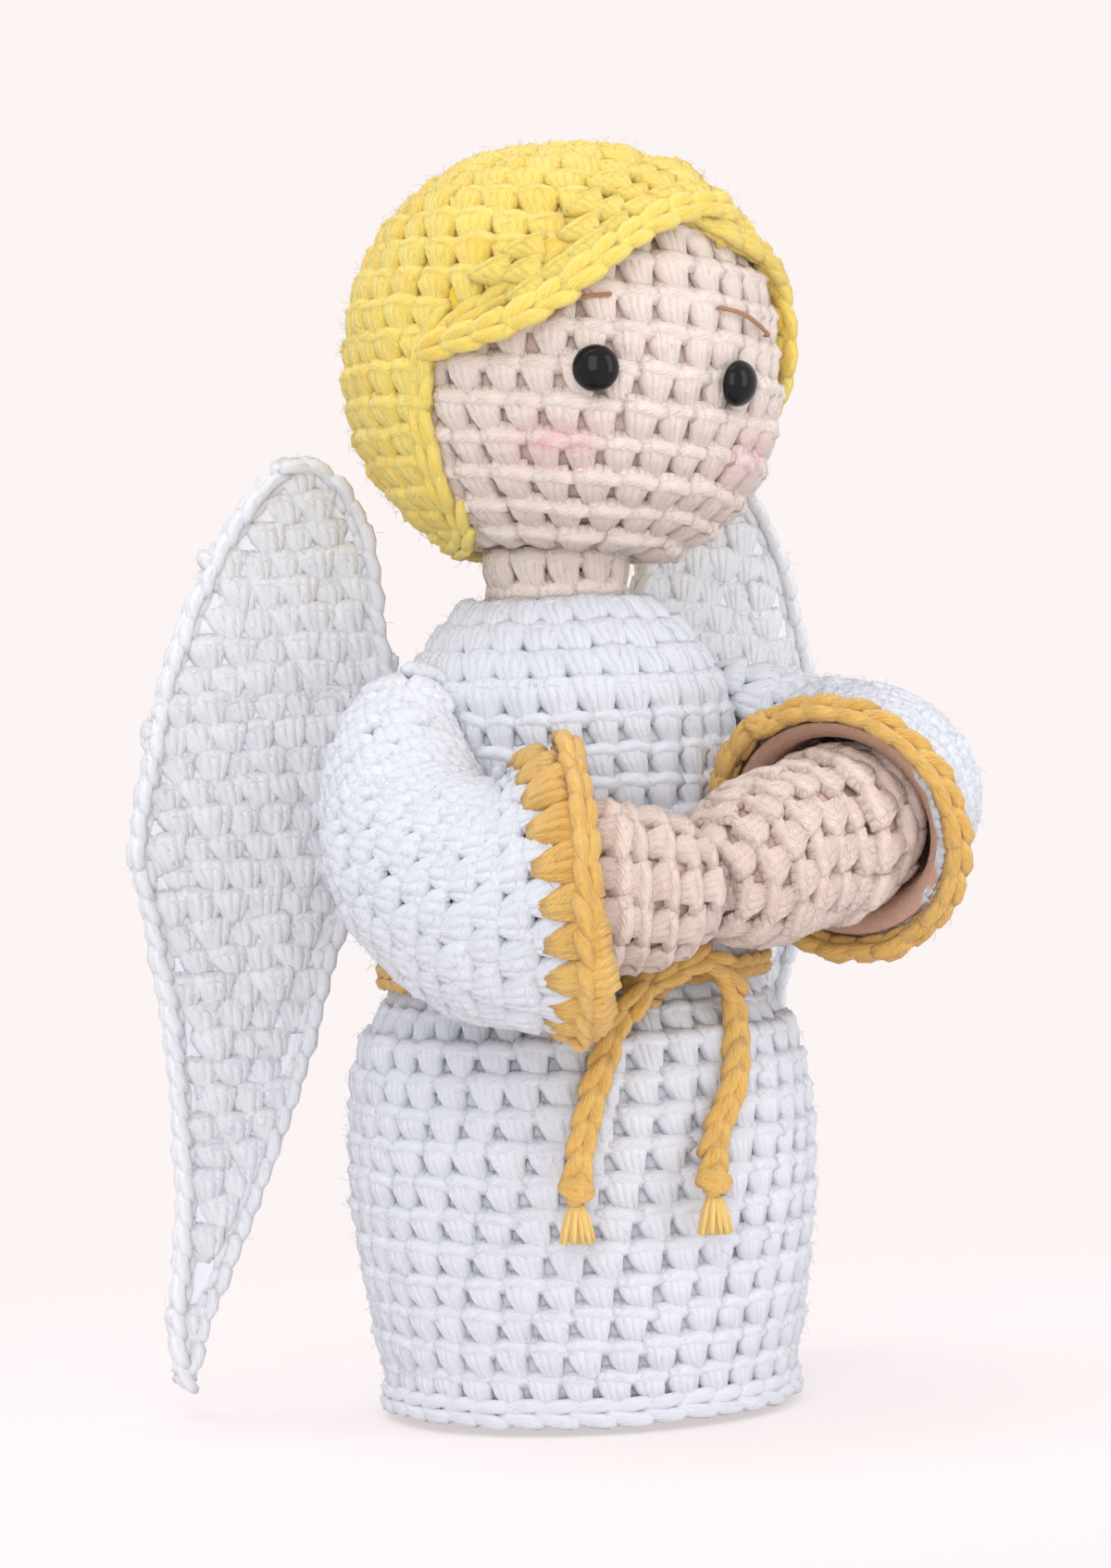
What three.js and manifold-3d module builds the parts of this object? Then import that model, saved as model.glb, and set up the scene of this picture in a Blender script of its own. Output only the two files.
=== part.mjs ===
// A crocheted angel doll: a stuffed body and head, arms in bell sleeves with the hands sewn together,
// two flat wings sewn to the back, and a cord belt tied in front with two tasselled tails.
// Millimetres, +Z up. The doll faces -Y, its left side is +X, and it stands on Z = 0 at the origin.
import * as THREE from 'three';
import { mergeVertices } from 'three/addons/utils/BufferGeometryUtils.js';
import Module from 'manifold-3d';

const wasm = await Module();
wasm.setup();

// Fabric and clearances
const fabric = 3; // wall of the dress, sleeves and head
const handWall = 2.6;
const neckWall = 2.6;
const gap = 0.35; // left between pieces that touch

// Dress: radius and height of each level, from the hem up
const baseThickness = 3;
const hemRadius = 27.2;
const skirtRadius = 30.4;
const skirtHeight = 27;
const hipRadius = 29;
const hipHeight = 46;
const waistRadius = 23.4; // drawn in by the belt
const waistHeight = 57.5;
const chestRadius = 24;
const shoulderRadius = 22;
const yokeRadius = 17.1;
const collarWall = 2.2;
const collarHeight = 105;
const chestDrop = 30; // drops are measured down from the collar's edge
const shoulderDrop = 13;
const yokeDrop = 4;

// Neck: a soft tube that rocks in the collar on its rounded lower end
const neckRadius = 9.8;
const neckClearance = 0.8;
const neckPivotDrop = 2;
const neckBallRadius = 11;
const neckShown = 4.8; // between the collar's edge and the head

// Head: a full ball that leans to the doll's left, with the face turned a little that way
const headLean = 6.5;
const headRadius = 27.6;
const headAbove = 26.4; // from the widest level to the crown
const headBelow = 28; // from the widest level to where the ball would close under the chin
const headFullness = 2.2; // 2 is an ellipse, more is boxier
const faceTurn = 4;
const hairThickness = 1.6;
const hairClearance = 0.6;
const fringeThickness = 1.8;

// Eyes: a domed button on a post, with a washer behind the fabric
const eyeRadius = 3;
const eyeDome = 2.4;
const eyeSpread = 21.8;
const eyeLevel = -6.2;
const postRadius = 1;
const postClearance = 0.3;
const washerRadius = 4.2;
const washerThickness = 1.2;
const postTail = 1.2; // length of post behind the washer
const browRadius = 0.5;

// Arms: the shoulder seam that they turn on, how far they lift, and the hands
const shoulderSeamDrop = 12;
const armLift = 40;
const armReach = 17; // where the hands meet, out from the chest
const armDrop = 23.5; // and down from the shoulder seam
const rightCuffRadius = 17.8;
const leftCuffRadius = 16.2;
const handRadius = 11.3;
const handTip = 15; // length over which the hand rounds off
const handEase = 2.1; // room round the wrist inside the sleeve
const handPress = 3; // how far each round hand would reach past the seam between them
const trimRadius = 1.6;

// Wings: flat leaves with a thicker edge, sewn on beside the spine
const wingThickness = 2.6;
const wingEdgeRadius = 1.7;
const wingReach = 40; // out from the seam
const wingLength = 125;
const wingSeamOut = 13;
const wingSeamDrop = 24.5;
const wingLean = 4.6; // degrees, the top forward and the tip back
const wingTilt = { right: 0, left: 8 }; // degrees, the tip swung inward
const wingFold = { right: 0, left: 9 }; // degrees folded back, as sewn on

// Belt and tails
const beltRadius = 1.5;
const knotRadius = 3.4;
const knotSide = -2;
const tailRadius = 2.1;
const tailDrop = 22.5; // down from the belt
const tailKnotRadius = 2.9;
const tasselLength = 3.8;
const tasselRadius = 2.8;
const tasselNeck = 1.9;

// Sleeve routes from shoulder to cuff: degrees round from the front, then shares of the arm's reach
// out from the chest, of its drop and of the cuff's radius
const sleeveRoutes = {
  right: [
    { around: 87, out: -0.265, drop: -0.021, radius: 0.365 },
    { around: 73, out: 0.235, drop: 0.298, radius: 0.534 },
    { around: 56, out: 0.706, drop: 0.74, radius: 0.72 },
    { around: 40, out: 0.941, drop: 0.996, radius: 0.9 },
    { around: 26.5, out: 0.95, drop: 0.996, radius: 1 },
  ],
  left: [
    { around: 87, out: -0.265, drop: 0.043, radius: 0.389 },
    { around: 80, out: 0.324, drop: 0.298, radius: 0.605 },
    { around: 69, out: 0.735, drop: 0.468, radius: 0.772 },
    { around: 54, out: 0.97, drop: 0.605, radius: 0.85 },
    { around: 38, out: 0.894, drop: 0.757, radius: 1 },
  ],
};

// Wing edge: share of the wing's reach out from the seam, and of its length up from the seam's middle
const wingOutline = [
  [0.36, 0.36], [0.605, 0.315], [0.81, 0.204], [0.918, 0.104], [1, -0.021], [0.979, -0.089],
  [0.903, -0.227], [0.866, -0.41], [0.9, -0.56], [0.84, -0.612], [0.74, -0.54], [0.585, -0.432],
  [0.41, -0.298], [0.26, -0.152], [0.051, -0.064], [0.01, 0.056], [0.075, 0.152], [0.15, 0.292],
];

// Hairline round the head, and the fringe's two edges: degrees round from the face, degrees up
const hairline = [
  [-180, -62], [-166, -62], [-152, -63], [-138, -63], [-124, -64], [-112, -64], [-100, -63.5], [-88, -62],
  [-76, -57], [-73, -44], [-71.5, -30], [-70, -15], [-68, -4], [-54, 5], [-40, 14], [-28, 23], [-16, 31],
  [-4, 38], [4, 37.5], [16, 34.5], [28, 31.5], [41, 29], [56, 23], [64, 12], [71, 0], [79, -7], [88, -13],
  [95, -22], [100, -33], [104, -44], [107, -51], [112, -55], [118, -56.5], [126, -57], [138, -57.5],
  [152, -58.5], [166, -60],
];
const fringeLower = [
  [-67, -3.5], [-43.5, 3], [-25.7, 16.5], [-12.3, 27.5], [1, 35], [14, 37.6], [30.5, 41.3],
];
const fringeUpper = [[-68, 0], [-50, 15.8], [-36, 27], [-22, 40], [-6, 49], [14, 55], [33, 55]];
const browRoutes = {
  right: [[-34.5, 6.2], [-27.3, 11.4], [-19, 13.2]],
  left: [[14.5, 12.8], [25.3, 11.9], [37.3, 8.1]],
};

// Belt tails from the front knot to their own knots: degrees round from the front, tail radii out from
// the dress, and share of the tail's drop
const tailRoutes = {
  right: [
    [-9.9, 2.21, 0.116], [-14.3, 1.42, 0.231], [-17.3, 1.2, 0.351], [-19.7, 1.31, 0.493],
    [-21.9, 1.27, 0.636], [-24, 1.31, 0.796], [-25.5, 1.72, 0.991],
  ],
  left: [
    [2.5, 2.8, -0.053], [8.2, 2.89, -0.089], [13.3, 2.71, -0.031], [17.3, 2.22, 0.093], [18.8, 1.35, 0.244],
    [16.7, 1.29, 0.413], [13.4, 1.27, 0.587], [9.8, 1.23, 0.733], [6.5, 1.25, 0.88], [4.9, 1.63, 1],
  ],
};

// Colours of the yarns, the filling and the buttons
const white = { color: '#f0f0f6', roughness: 0.9 };
const skin = { color: '#f0decf', roughness: 0.9 };
const yellow = { color: '#f6d463', roughness: 0.9 };
const gold = { color: '#e6aa48', roughness: 0.9 };
const brown = { color: '#be7d4b', roughness: 0.9 };
const fibre = { color: '#e4e6e8', roughness: 1 };
const glossBlack = { color: '#14161a', roughness: 0.12 };
const clearPlastic = { color: '#d9dcdf', roughness: 0.4 };

const doll = new THREE.Group();
const radians = THREE.MathUtils.degToRad;
const upward = new THREE.Vector3(0, 0, 1);
const sideSigns = { right: -1, left: 1 };

// Shapes become solids to be cut by each other, and solids become meshes
function solidOf(geometry) {
  const bare = geometry.clone();
  bare.deleteAttribute('normal');
  bare.deleteAttribute('uv');
  const { attributes, index } = mergeVertices(bare, 1e-4);
  const triVerts = [];
  for (let i = 0; i < index.count; i += 3) {
    const corners = [index.getX(i), index.getX(i + 1), index.getX(i + 2)];
    if (new Set(corners).size === 3) triVerts.push(...corners);
  }
  const vertProperties = attributes.position.array;
  const mesh = new wasm.Mesh({ numProp: 3, vertProperties, triVerts: new Uint32Array(triVerts) });
  return new wasm.Manifold(mesh);
}

function geometryOf(solid) {
  const { vertProperties, triVerts } = solid.getMesh();
  const geometry = new THREE.BufferGeometry();
  geometry.setAttribute('position', new THREE.BufferAttribute(vertProperties, 3));
  geometry.setIndex(new THREE.BufferAttribute(triVerts, 1));
  geometry.computeVertexNormals();
  return geometry;
}

function addPiece(name, solid, look, parent = doll) {
  const piece = new THREE.Mesh(geometryOf(solid), new THREE.MeshStandardMaterial(look));
  piece.name = name;
  parent.add(piece);
}

// A closed skin over a row of rings, with each end drawn to the middle of its ring
function loft(rings) {
  const count = rings[0].length;
  const sumOf = (ring) => ring.reduce((sum, point) => sum.add(point), new THREE.Vector3());
  const middleOf = (ring) => sumOf(ring).divideScalar(count);
  const points = [...rings.flat(), middleOf(rings[0]), middleOf(rings.at(-1))];
  const lastRing = (rings.length - 1) * count;
  const startPole = rings.length * count;
  const faces = [];
  for (let k = 0; k < count; k++) {
    const next = (k + 1) % count;
    faces.push([startPole, next, k], [startPole + 1, lastRing + k, lastRing + next]);
    for (let row = 0; row < lastRing; row += count) {
      faces.push([row + k, row + next, row + count + next], [row + k, row + count + next, row + count + k]);
    }
  }
  const volumeOf = ([a, b, c]) => points[a].dot(points[b].clone().cross(points[c]));
  const inward = faces.reduce((sum, face) => sum + volumeOf(face), 0) < 0;
  const index = faces.flatMap((face) => (inward ? face.toReversed() : face));
  return new THREE.BufferGeometry().setFromPoints(points).setIndex(index);
}

// A solid turned about Z from [radius, height] pairs that run up the outside
function revolve(profile, segments) {
  const points = profile.map(([radius, height]) => new THREE.Vector2(radius, height));
  return new THREE.LatheGeometry(points, segments).rotateX(Math.PI / 2);
}

// A ring of points square to a direction
function ringAt(centre, along, radius, count) {
  const across = new THREE.Vector3().crossVectors(along, upward).normalize();
  const over = new THREE.Vector3().crossVectors(across, along).normalize();
  return Array.from({ length: count }, (_, k) => {
    const turn = (2 * Math.PI * k) / count;
    const sideways = across.clone().multiplyScalar(radius * Math.cos(turn));
    return centre.clone().add(sideways).addScaledVector(over, radius * Math.sin(turn));
  });
}

// A round cord along chosen points
function cordAlong(points, radius, steps) {
  const section = new THREE.Shape(new THREE.EllipseCurve(0, 0, radius, radius).getPoints(8).slice(0, 8));
  const extrudePath = new THREE.CatmullRomCurve3(points);
  return new THREE.ExtrudeGeometry(section, { extrudePath, steps });
}

// Dress
const dressSegments = 24;
const hemHeight = baseThickness + gap;
const chestHeight = collarHeight - chestDrop;
const shoulderHeight = collarHeight - shoulderDrop;
const yokeHeight = collarHeight - yokeDrop;
const shoulderSeamHeight = collarHeight - shoulderSeamDrop;
const neckHoleRadius = neckRadius + neckClearance;
const collarRadius = neckHoleRadius + collarWall;
const dressCurve = new THREE.SplineCurve([
  new THREE.Vector2(hemRadius, hemHeight),
  new THREE.Vector2(skirtRadius, skirtHeight),
  new THREE.Vector2(hipRadius, hipHeight),
  new THREE.Vector2(waistRadius, waistHeight),
  new THREE.Vector2(chestRadius, chestHeight),
  new THREE.Vector2(shoulderRadius, shoulderHeight),
  new THREE.Vector2(yokeRadius, yokeHeight),
  new THREE.Vector2(collarRadius, collarHeight),
]);
const dressLevels = dressCurve.getPoints(18).map((level) => [level.x, level.y]);

function dressRadius(height) {
  const above = dressLevels.findIndex((level) => level[1] >= height);
  const [[lowRadius, low], [highRadius, high]] = dressLevels.slice(above - 1, above + 1);
  return THREE.MathUtils.mapLinear(height, low, high, lowRadius, highRadius);
}

const insideRadius = (outside) => Math.max(outside - fabric, neckHoleRadius);
const insideLevels = dressLevels.filter((_, k) => k % 2 === 0);
const dressInside = insideLevels.map(([radius, height]) => [insideRadius(radius), height]);
const dressProfile = [...dressLevels, ...dressInside.toReversed(), dressLevels[0]];
addPiece('dress_body', solidOf(revolve(dressProfile, dressSegments)), white);
const baseProfile = [[0, 0], [hemRadius, 0], [hemRadius, baseThickness], [0, baseThickness]];
addPiece('base_panel', solidOf(revolve(baseProfile, dressSegments)), white);

// The dress and belt as a plain cutter that stays clear of both by the growth given
const beltRingRadius = dressRadius(waistHeight) + gap + beltRadius;
function bodyCutter(growth, lift = 0) {
  const segments = 24;
  const reach = 1 / Math.cos(Math.PI / segments);
  const beltReach = beltRadius + growth;
  const clearOfBelt = ([, height]) => Math.abs(height - waistHeight) > 2 * beltReach;
  const levels = dressLevels.map(([radius, height]) => [radius + growth, height]).filter(clearOfBelt);
  const beltHeights = [-2, -1, 1, 2].map((step) => waistHeight + step * beltReach);
  const beltRadii = [0, beltRingRadius + beltReach, beltRingRadius + beltReach, 0];
  beltHeights.forEach((height, i) => {
    levels.push([beltRadii[i] || dressRadius(height) + growth, height]);
  });
  levels.sort((a, b) => a[1] - b[1]);
  const profile = [[0, hemHeight - growth], [levels[0][0], hemHeight - growth]];
  profile.push(...levels, [collarRadius + growth, collarHeight + growth], [0, collarHeight + growth]);
  const cutter = revolve(profile.map(([radius, height]) => [radius * reach, height]), segments);
  cutter.translate(0, 0, -shoulderSeamHeight).rotateX(radians(lift)).translate(0, 0, shoulderSeamHeight);
  return solidOf(cutter);
}

// Neck, and the filling that it rocks on
const neckPivotHeight = collarHeight - neckPivotDrop;
const neckTop = collarHeight + neckShown;
const blockSize = 2 * collarHeight; // of blocks that cut everything on one side
function neckShape(inset) {
  const ballRadius = neckBallRadius - inset;
  const tubeRadius = neckRadius - inset;
  const shoulderAngle = Math.asin(tubeRadius / ballRadius);
  const profile = [];
  for (let k = 0; k <= 4; k++) {
    const turn = (shoulderAngle * k) / 4;
    profile.push([ballRadius * Math.sin(turn), neckPivotHeight - ballRadius * Math.cos(turn)]);
  }
  profile.push([tubeRadius, neckTop + neckRadius], [0, neckTop + neckRadius]);
  return solidOf(revolve(profile, 20));
}

const head = new THREE.Group();
head.position.set(0, 0, neckTop);
head.rotation.y = radians(headLean);
head.updateMatrix();
doll.add(head);
const upperBlock = new THREE.BoxGeometry(blockSize, blockSize, blockSize).translate(0, 0, blockSize / 2);
const aboveNeck = solidOf(upperBlock.applyMatrix4(head.matrix));
const neckSolid = neckShape(0).subtract(neckShape(neckWall)).subtract(aboveNeck);
addPiece('neck', neckSolid, skin);
addPiece('neck_stuffing', neckShape(neckWall + gap).subtract(aboveNeck), fibre);

const fillTop = yokeHeight - gap;
const belowNeck = dressInside.filter(([, height]) => height < fillTop);
const fillLevels = belowNeck.map(([radius, height]) => [radius - gap, height]);
const fillProfile = [[0, hemHeight], ...fillLevels, [neckHoleRadius, fillTop], [0, fillTop]];
const neckSocket = new THREE.SphereGeometry(neckBallRadius + 2 * gap, 16, 12);
neckSocket.translate(0, 0, neckPivotHeight);
addPiece('body_stuffing', solidOf(revolve(fillProfile, 16)).subtract(solidOf(neckSocket)), fibre);

// Head: a point on the ball, grown outward, by degrees round from the face and degrees up
const chinShare = (neckRadius / headRadius) ** headFullness;
const headCentre = gap + headBelow * (1 - chinShare) ** (1 / headFullness);

function headReach(up, growth) {
  const vertical = (up < 0 ? headBelow : headAbove) + growth;
  const level = (Math.cos(radians(up)) / (headRadius + growth)) ** headFullness;
  const rise = (Math.abs(Math.sin(radians(up))) / vertical) ** headFullness;
  return (level + rise) ** (-1 / headFullness);
}

function headPoint([around, up], growth) {
  const reach = headReach(up, growth);
  const turn = radians(around + faceTurn);
  const flat = reach * Math.cos(radians(up));
  const height = headCentre + reach * Math.sin(radians(up));
  return new THREE.Vector3(flat * Math.sin(turn), -flat * Math.cos(turn), height);
}

// Half profile of the head from its lowest level to the crown
function headProfile(growth, lowest, steps) {
  return Array.from({ length: steps + 1 }, (_, k) => {
    const up = THREE.MathUtils.lerp(lowest, 90, k / steps);
    const reach = headReach(up, growth);
    return [Math.max(0, reach * Math.cos(radians(up))), headCentre + reach * Math.sin(radians(up))];
  });
}

const chinAngle = -THREE.MathUtils.radToDeg(Math.atan2(headCentre - gap, neckRadius));
const headHoleRadius = neckRadius - neckWall;
const coverInside = headProfile(-fabric, -90, 9).filter(([radius], k) => radius > headHoleRadius || k > 4);
const coverProfile = [...headProfile(0, chinAngle, 11), ...coverInside.toReversed()];
coverProfile.push([headHoleRadius, coverInside[0][1]], [headHoleRadius, gap], [neckRadius, gap]);
let headCover = solidOf(revolve(coverProfile, 24));
let headFill = solidOf(revolve(headProfile(-fabric - gap, -90, 9), 16));

// Eyes: each stands on the head, its post goes through the cover, and its washer holds it inside
const washerSeat = fabric + 2 * gap + washerRadius ** 2 / headRadius;
const postLength = washerSeat + washerThickness + postTail;
function eyeShape() {
  const profile = [[0, -postLength], [postRadius, -postLength], [postRadius, 0], [eyeRadius, 0]];
  for (let k = 1; k <= 5; k++) {
    const turn = (Math.PI * k) / 10;
    profile.push([eyeRadius * Math.cos(turn), eyeDome * Math.sin(turn)]);
  }
  return solidOf(revolve(profile, 16));
}

function plug(radius, low, high) {
  return revolve([[0, low], [radius, low], [radius, high], [0, high]], 16);
}

for (const [side, sign] of Object.entries(sideSigns)) {
  const eye = new THREE.Group();
  const place = [sign * eyeSpread, eyeLevel];
  eye.position.copy(headPoint(place, gap));
  const outward = eye.position.clone().sub(new THREE.Vector3(0, 0, headCentre)).normalize();
  eye.quaternion.setFromUnitVectors(upward, outward);
  eye.updateMatrix();
  head.add(eye);
  addPiece(`eye_${side}`, eyeShape(), glossBlack, eye);
  const holeRadius = postRadius + postClearance;
  const [front, back] = [-washerSeat, -washerSeat - washerThickness];
  const washer = [[holeRadius, back], [washerRadius, back], [washerRadius, front], [holeRadius, front]];
  addPiece(`eye_washer_${side}`, solidOf(revolve([...washer, washer[0]], 16)), clearPlastic, eye);
  const postHole = plug(holeRadius, -postLength, eyeDome).applyMatrix4(eye.matrix);
  const washerPocket = plug(washerRadius + gap, -postLength - gap, eyeDome).applyMatrix4(eye.matrix);
  headCover = headCover.subtract(solidOf(postHole));
  headFill = headFill.subtract(solidOf(washerPocket));
  const brow = browRoutes[side].map((point) => headPoint(point, gap + browRadius));
  addPiece(`brow_${side}`, solidOf(cordAlong(brow, browRadius, 6)), brown, head);
}
addPiece('head_cover', headCover, skin, head);
addPiece('head_stuffing', headFill, fibre, head);

// Hair: a cap that follows the hairline, and a fringe swept across the forehead on top of it
const hairOutside = hairClearance + hairThickness;
const hairRows = 11;
function hairRing(row, growth) {
  const upFrom = (low) => THREE.MathUtils.lerp(low, 90, row / hairRows);
  return hairline.map(([around, low]) => headPoint([around, upFrom(low)], growth));
}
const hairRings = [];
for (let row = hairRows; row >= 0; row--) hairRings.push(hairRing(row, hairOutside));
for (let row = 0; row <= hairRows; row++) hairRings.push(hairRing(row, hairClearance));
addPiece('hair_cap', solidOf(loft(hairRings)), yellow, head);

const fringeInside = hairOutside + gap;
const fringeOutside = fringeInside + fringeThickness;
const fringeEdges = [fringeLower, fringeUpper].map((edge) => {
  return new THREE.SplineCurve(edge.map(([around, up]) => new THREE.Vector2(around, up)));
});
const fringeRings = Array.from({ length: 13 }, (_, k) => {
  const [low, high] = fringeEdges.map((edge) => edge.getPoint(k / 12));
  const across = [0, 1 / 3, 2 / 3, 1].map((share) => low.clone().lerp(high, share).toArray());
  const outer = across.map((point) => headPoint(point, fringeOutside));
  const inner = across.toReversed().map((point) => headPoint(point, fringeInside));
  return [...outer, ...inner];
});
addPiece('hair_fringe', solidOf(loft(fringeRings)), yellow, head);

// Arms: sleeves cut where they lie on the body at rest and all the way through their lift
const armSides = 12;
const armShares = Array.from({ length: 9 }, (_, k) => k / 8);
const elbowShare = 0.5;
const liftSteps = [0, 1 / 3, 2 / 3, 1].map((share) => share * armLift);
const cutByBody = (solid, growth) => {
  return liftSteps.reduce((left, lift) => left.subtract(bodyCutter(growth, lift)), solid);
};
const handMeet = new THREE.Vector3(0, -chestRadius - armReach, shoulderSeamHeight - armDrop);
const cuffRadii = { right: rightCuffRadius, left: leftCuffRadius };

function pastSeam(sign, clearance) {
  const block = new THREE.BoxGeometry(blockSize, blockSize, blockSize);
  return solidOf(block.translate(-sign * (blockSize / 2 - clearance), 0, handMeet.z));
}

for (const [side, sign] of Object.entries(sideSigns)) {
  const route = sleeveRoutes[side];
  const centres = route.map(({ around, out, drop }) => {
    const reach = chestRadius + out * armReach;
    const across = sign * reach * Math.sin(radians(around));
    const forward = -reach * Math.cos(radians(around));
    return new THREE.Vector3(across, forward, shoulderSeamHeight - drop * armDrop);
  });
  const middle = new THREE.CatmullRomCurve3(centres);
  const spread = new THREE.SplineCurve(route.map(({ radius }, i) => new THREE.Vector2(radius, i)));
  const cuffRadius = cuffRadii[side];
  const sleeveRadius = (share) => cuffRadius * spread.getPoint(share).x;
  const armRing = (share, radius) => {
    return ringAt(middle.getPoint(share), middle.getTangent(share), radius, armSides);
  };
  const cuffCentre = centres.at(-1);
  const cuffAlong = middle.getTangent(1);

  // The sleeve is a bell, closed at the shoulder and open at the cuff
  const outside = loft(armShares.map((share) => armRing(share, sleeveRadius(share))));
  const hollowShares = [fabric / middle.getLength(), ...armShares.slice(1)];
  const pastCuff = cuffCentre.clone().addScaledVector(cuffAlong, fabric);
  const hollow = loft([
    ...hollowShares.map((share) => armRing(share, sleeveRadius(share) - fabric)),
    ringAt(pastCuff, cuffAlong, cuffRadius - fabric, armSides),
  ]);
  const sleeveHollow = cutByBody(solidOf(hollow), gap + fabric);
  addPiece(`sleeve_${side}`, cutByBody(solidOf(outside), gap).subtract(sleeveHollow), white);

  const trim = new THREE.TorusGeometry(cuffRadius - fabric / 2, trimRadius, 6, 20);
  trim.applyQuaternion(new THREE.Quaternion().setFromUnitVectors(upward, cuffAlong));
  trim.translate(...cuffCentre.clone().addScaledVector(cuffAlong, gap + trimRadius).toArray());
  addPiece(`sleeve_trim_${side}`, cutByBody(solidOf(trim), gap), gold);

  // The hand starts inside the sleeve at the elbow and ends in a round tip at the seam
  const reachOut = handMeet.clone().sub(cuffCentre).normalize();
  const tipCentre = handMeet.clone().addScaledVector(reachOut, handPress - handTip);
  const handWidth = (share) => Math.min(handRadius, sleeveRadius(share) - fabric - handEase);
  const handRings = (inset) => {
    const inSleeve = armShares.filter((share) => share >= elbowShare);
    const rings = inSleeve.map((share) => armRing(share, handWidth(share) - inset));
    const roundRadius = handRadius - inset;
    for (const turn of [0, 24, 48, 70, 85].map(radians)) {
      const centre = tipCentre.clone().addScaledVector(reachOut, (handTip - inset) * Math.sin(turn));
      rings.push(ringAt(centre, reachOut, roundRadius * Math.cos(turn), armSides));
    }
    return rings;
  };
  const opening = armRing(elbowShare - fabric / middle.getLength(), handWidth(elbowShare) - handWall);
  const insideSleeve = gap + fabric + gap;
  const trimmed = (shape, inset) => {
    return cutByBody(solidOf(shape), insideSleeve + inset).subtract(pastSeam(sign, gap / 2 + inset));
  };
  const handHollow = trimmed(loft([opening, ...handRings(handWall)]), handWall);
  addPiece(`hand_${side}`, trimmed(loft(handRings(0)), 0).subtract(handHollow), skin);

  // Filling runs from the upper arm down into the hand
  const upperArm = armShares.filter((share) => share > 0 && share < elbowShare);
  const fillRings = upperArm.map((share) => armRing(share, sleeveRadius(share) - fabric - gap));
  const fillInset = handWall + gap;
  addPiece(`arm_stuffing_${side}`, trimmed(loft([...fillRings, ...handRings(fillInset)]), fillInset), fibre);
}

// Wings: a leaf panel inside a round edge, cut clear of the back and of the hair
const wingSeamHeight = collarHeight - wingSeamDrop;
const seamReach = dressRadius(wingSeamHeight) + wingEdgeRadius;
const wingSeamDepth = Math.sqrt(seamReach ** 2 - (wingSeamOut + wingEdgeRadius) ** 2);
const hairBall = revolve(headProfile(hairOutside + 2 * gap, -90, 12), 24).applyMatrix4(head.matrix);
const backAndHair = bodyCutter(gap).add(solidOf(hairBall));

// The outline moved inward, without the points that would cross over in the narrow tip
function insetOutline(outline, inset) {
  const flat = outline.map(({ x, z }) => new THREE.Vector2(x, z));
  const turn = THREE.ShapeUtils.isClockWise(flat) ? -1 : 1;
  const moved = flat.map((point, k) => {
    const along = flat[(k + 1) % flat.length].clone().sub(flat.at(k - 1)).normalize();
    return point.clone().add(new THREE.Vector2(-along.y, along.x).multiplyScalar(turn * inset));
  });
  return moved.filter((point) => flat.every((other) => point.distanceTo(other) > 0.98 * inset));
}

for (const [side, sign] of Object.entries(sideSigns)) {
  const place = new THREE.Matrix4().makeRotationX(radians(wingLean));
  place.multiply(new THREE.Matrix4().makeRotationZ(sign * radians(wingFold[side])));
  place.multiply(new THREE.Matrix4().makeRotationY(sign * radians(wingTilt[side])));
  place.setPosition(sign * wingSeamOut, wingSeamDepth, wingSeamHeight);
  const corners = wingOutline.map(([out, up]) => {
    return new THREE.Vector3(sign * out * wingReach, 0, up * wingLength);
  });
  const outline = new THREE.CatmullRomCurve3(corners, true).getPoints(44).slice(0, -1);
  const edgePoints = insetOutline(outline, wingEdgeRadius).map(({ x, y }) => new THREE.Vector3(x, 0, y));
  const edgeCurve = new THREE.CatmullRomCurve3(edgePoints, true);
  const edgeTube = new THREE.TubeGeometry(edgeCurve, 44, wingEdgeRadius, 6, true).applyMatrix4(place);
  addPiece(`wing_edging_${side}`, solidOf(edgeTube).subtract(backAndHair), white);
  const leaf = new THREE.Shape(insetOutline(outline, 2 * wingEdgeRadius + gap));
  const panel = new THREE.ExtrudeGeometry(leaf, { depth: wingThickness, bevelEnabled: false });
  panel.rotateX(Math.PI / 2).translate(0, wingThickness / 2, 0).applyMatrix4(place);
  addPiece(`wing_${side}`, solidOf(panel).subtract(backAndHair), white);
}

// Belt, with its knot tied round it in front
const beltRing = (radius) => {
  return solidOf(new THREE.TorusGeometry(beltRingRadius, radius, 6, 28).translate(0, 0, waistHeight));
};
addPiece('belt', beltRing(beltRadius), gold);
const knotReach = beltRingRadius + beltRadius;
const knotBall = new THREE.SphereGeometry(knotRadius, 14, 10);
knotBall.translate(knotSide, -Math.sqrt(knotReach ** 2 - knotSide ** 2), waistHeight);
const knot = solidOf(knotBall).subtract(beltRing(beltRadius + gap)).subtract(bodyCutter(gap));
addPiece('belt_knot', knot, gold);

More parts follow.
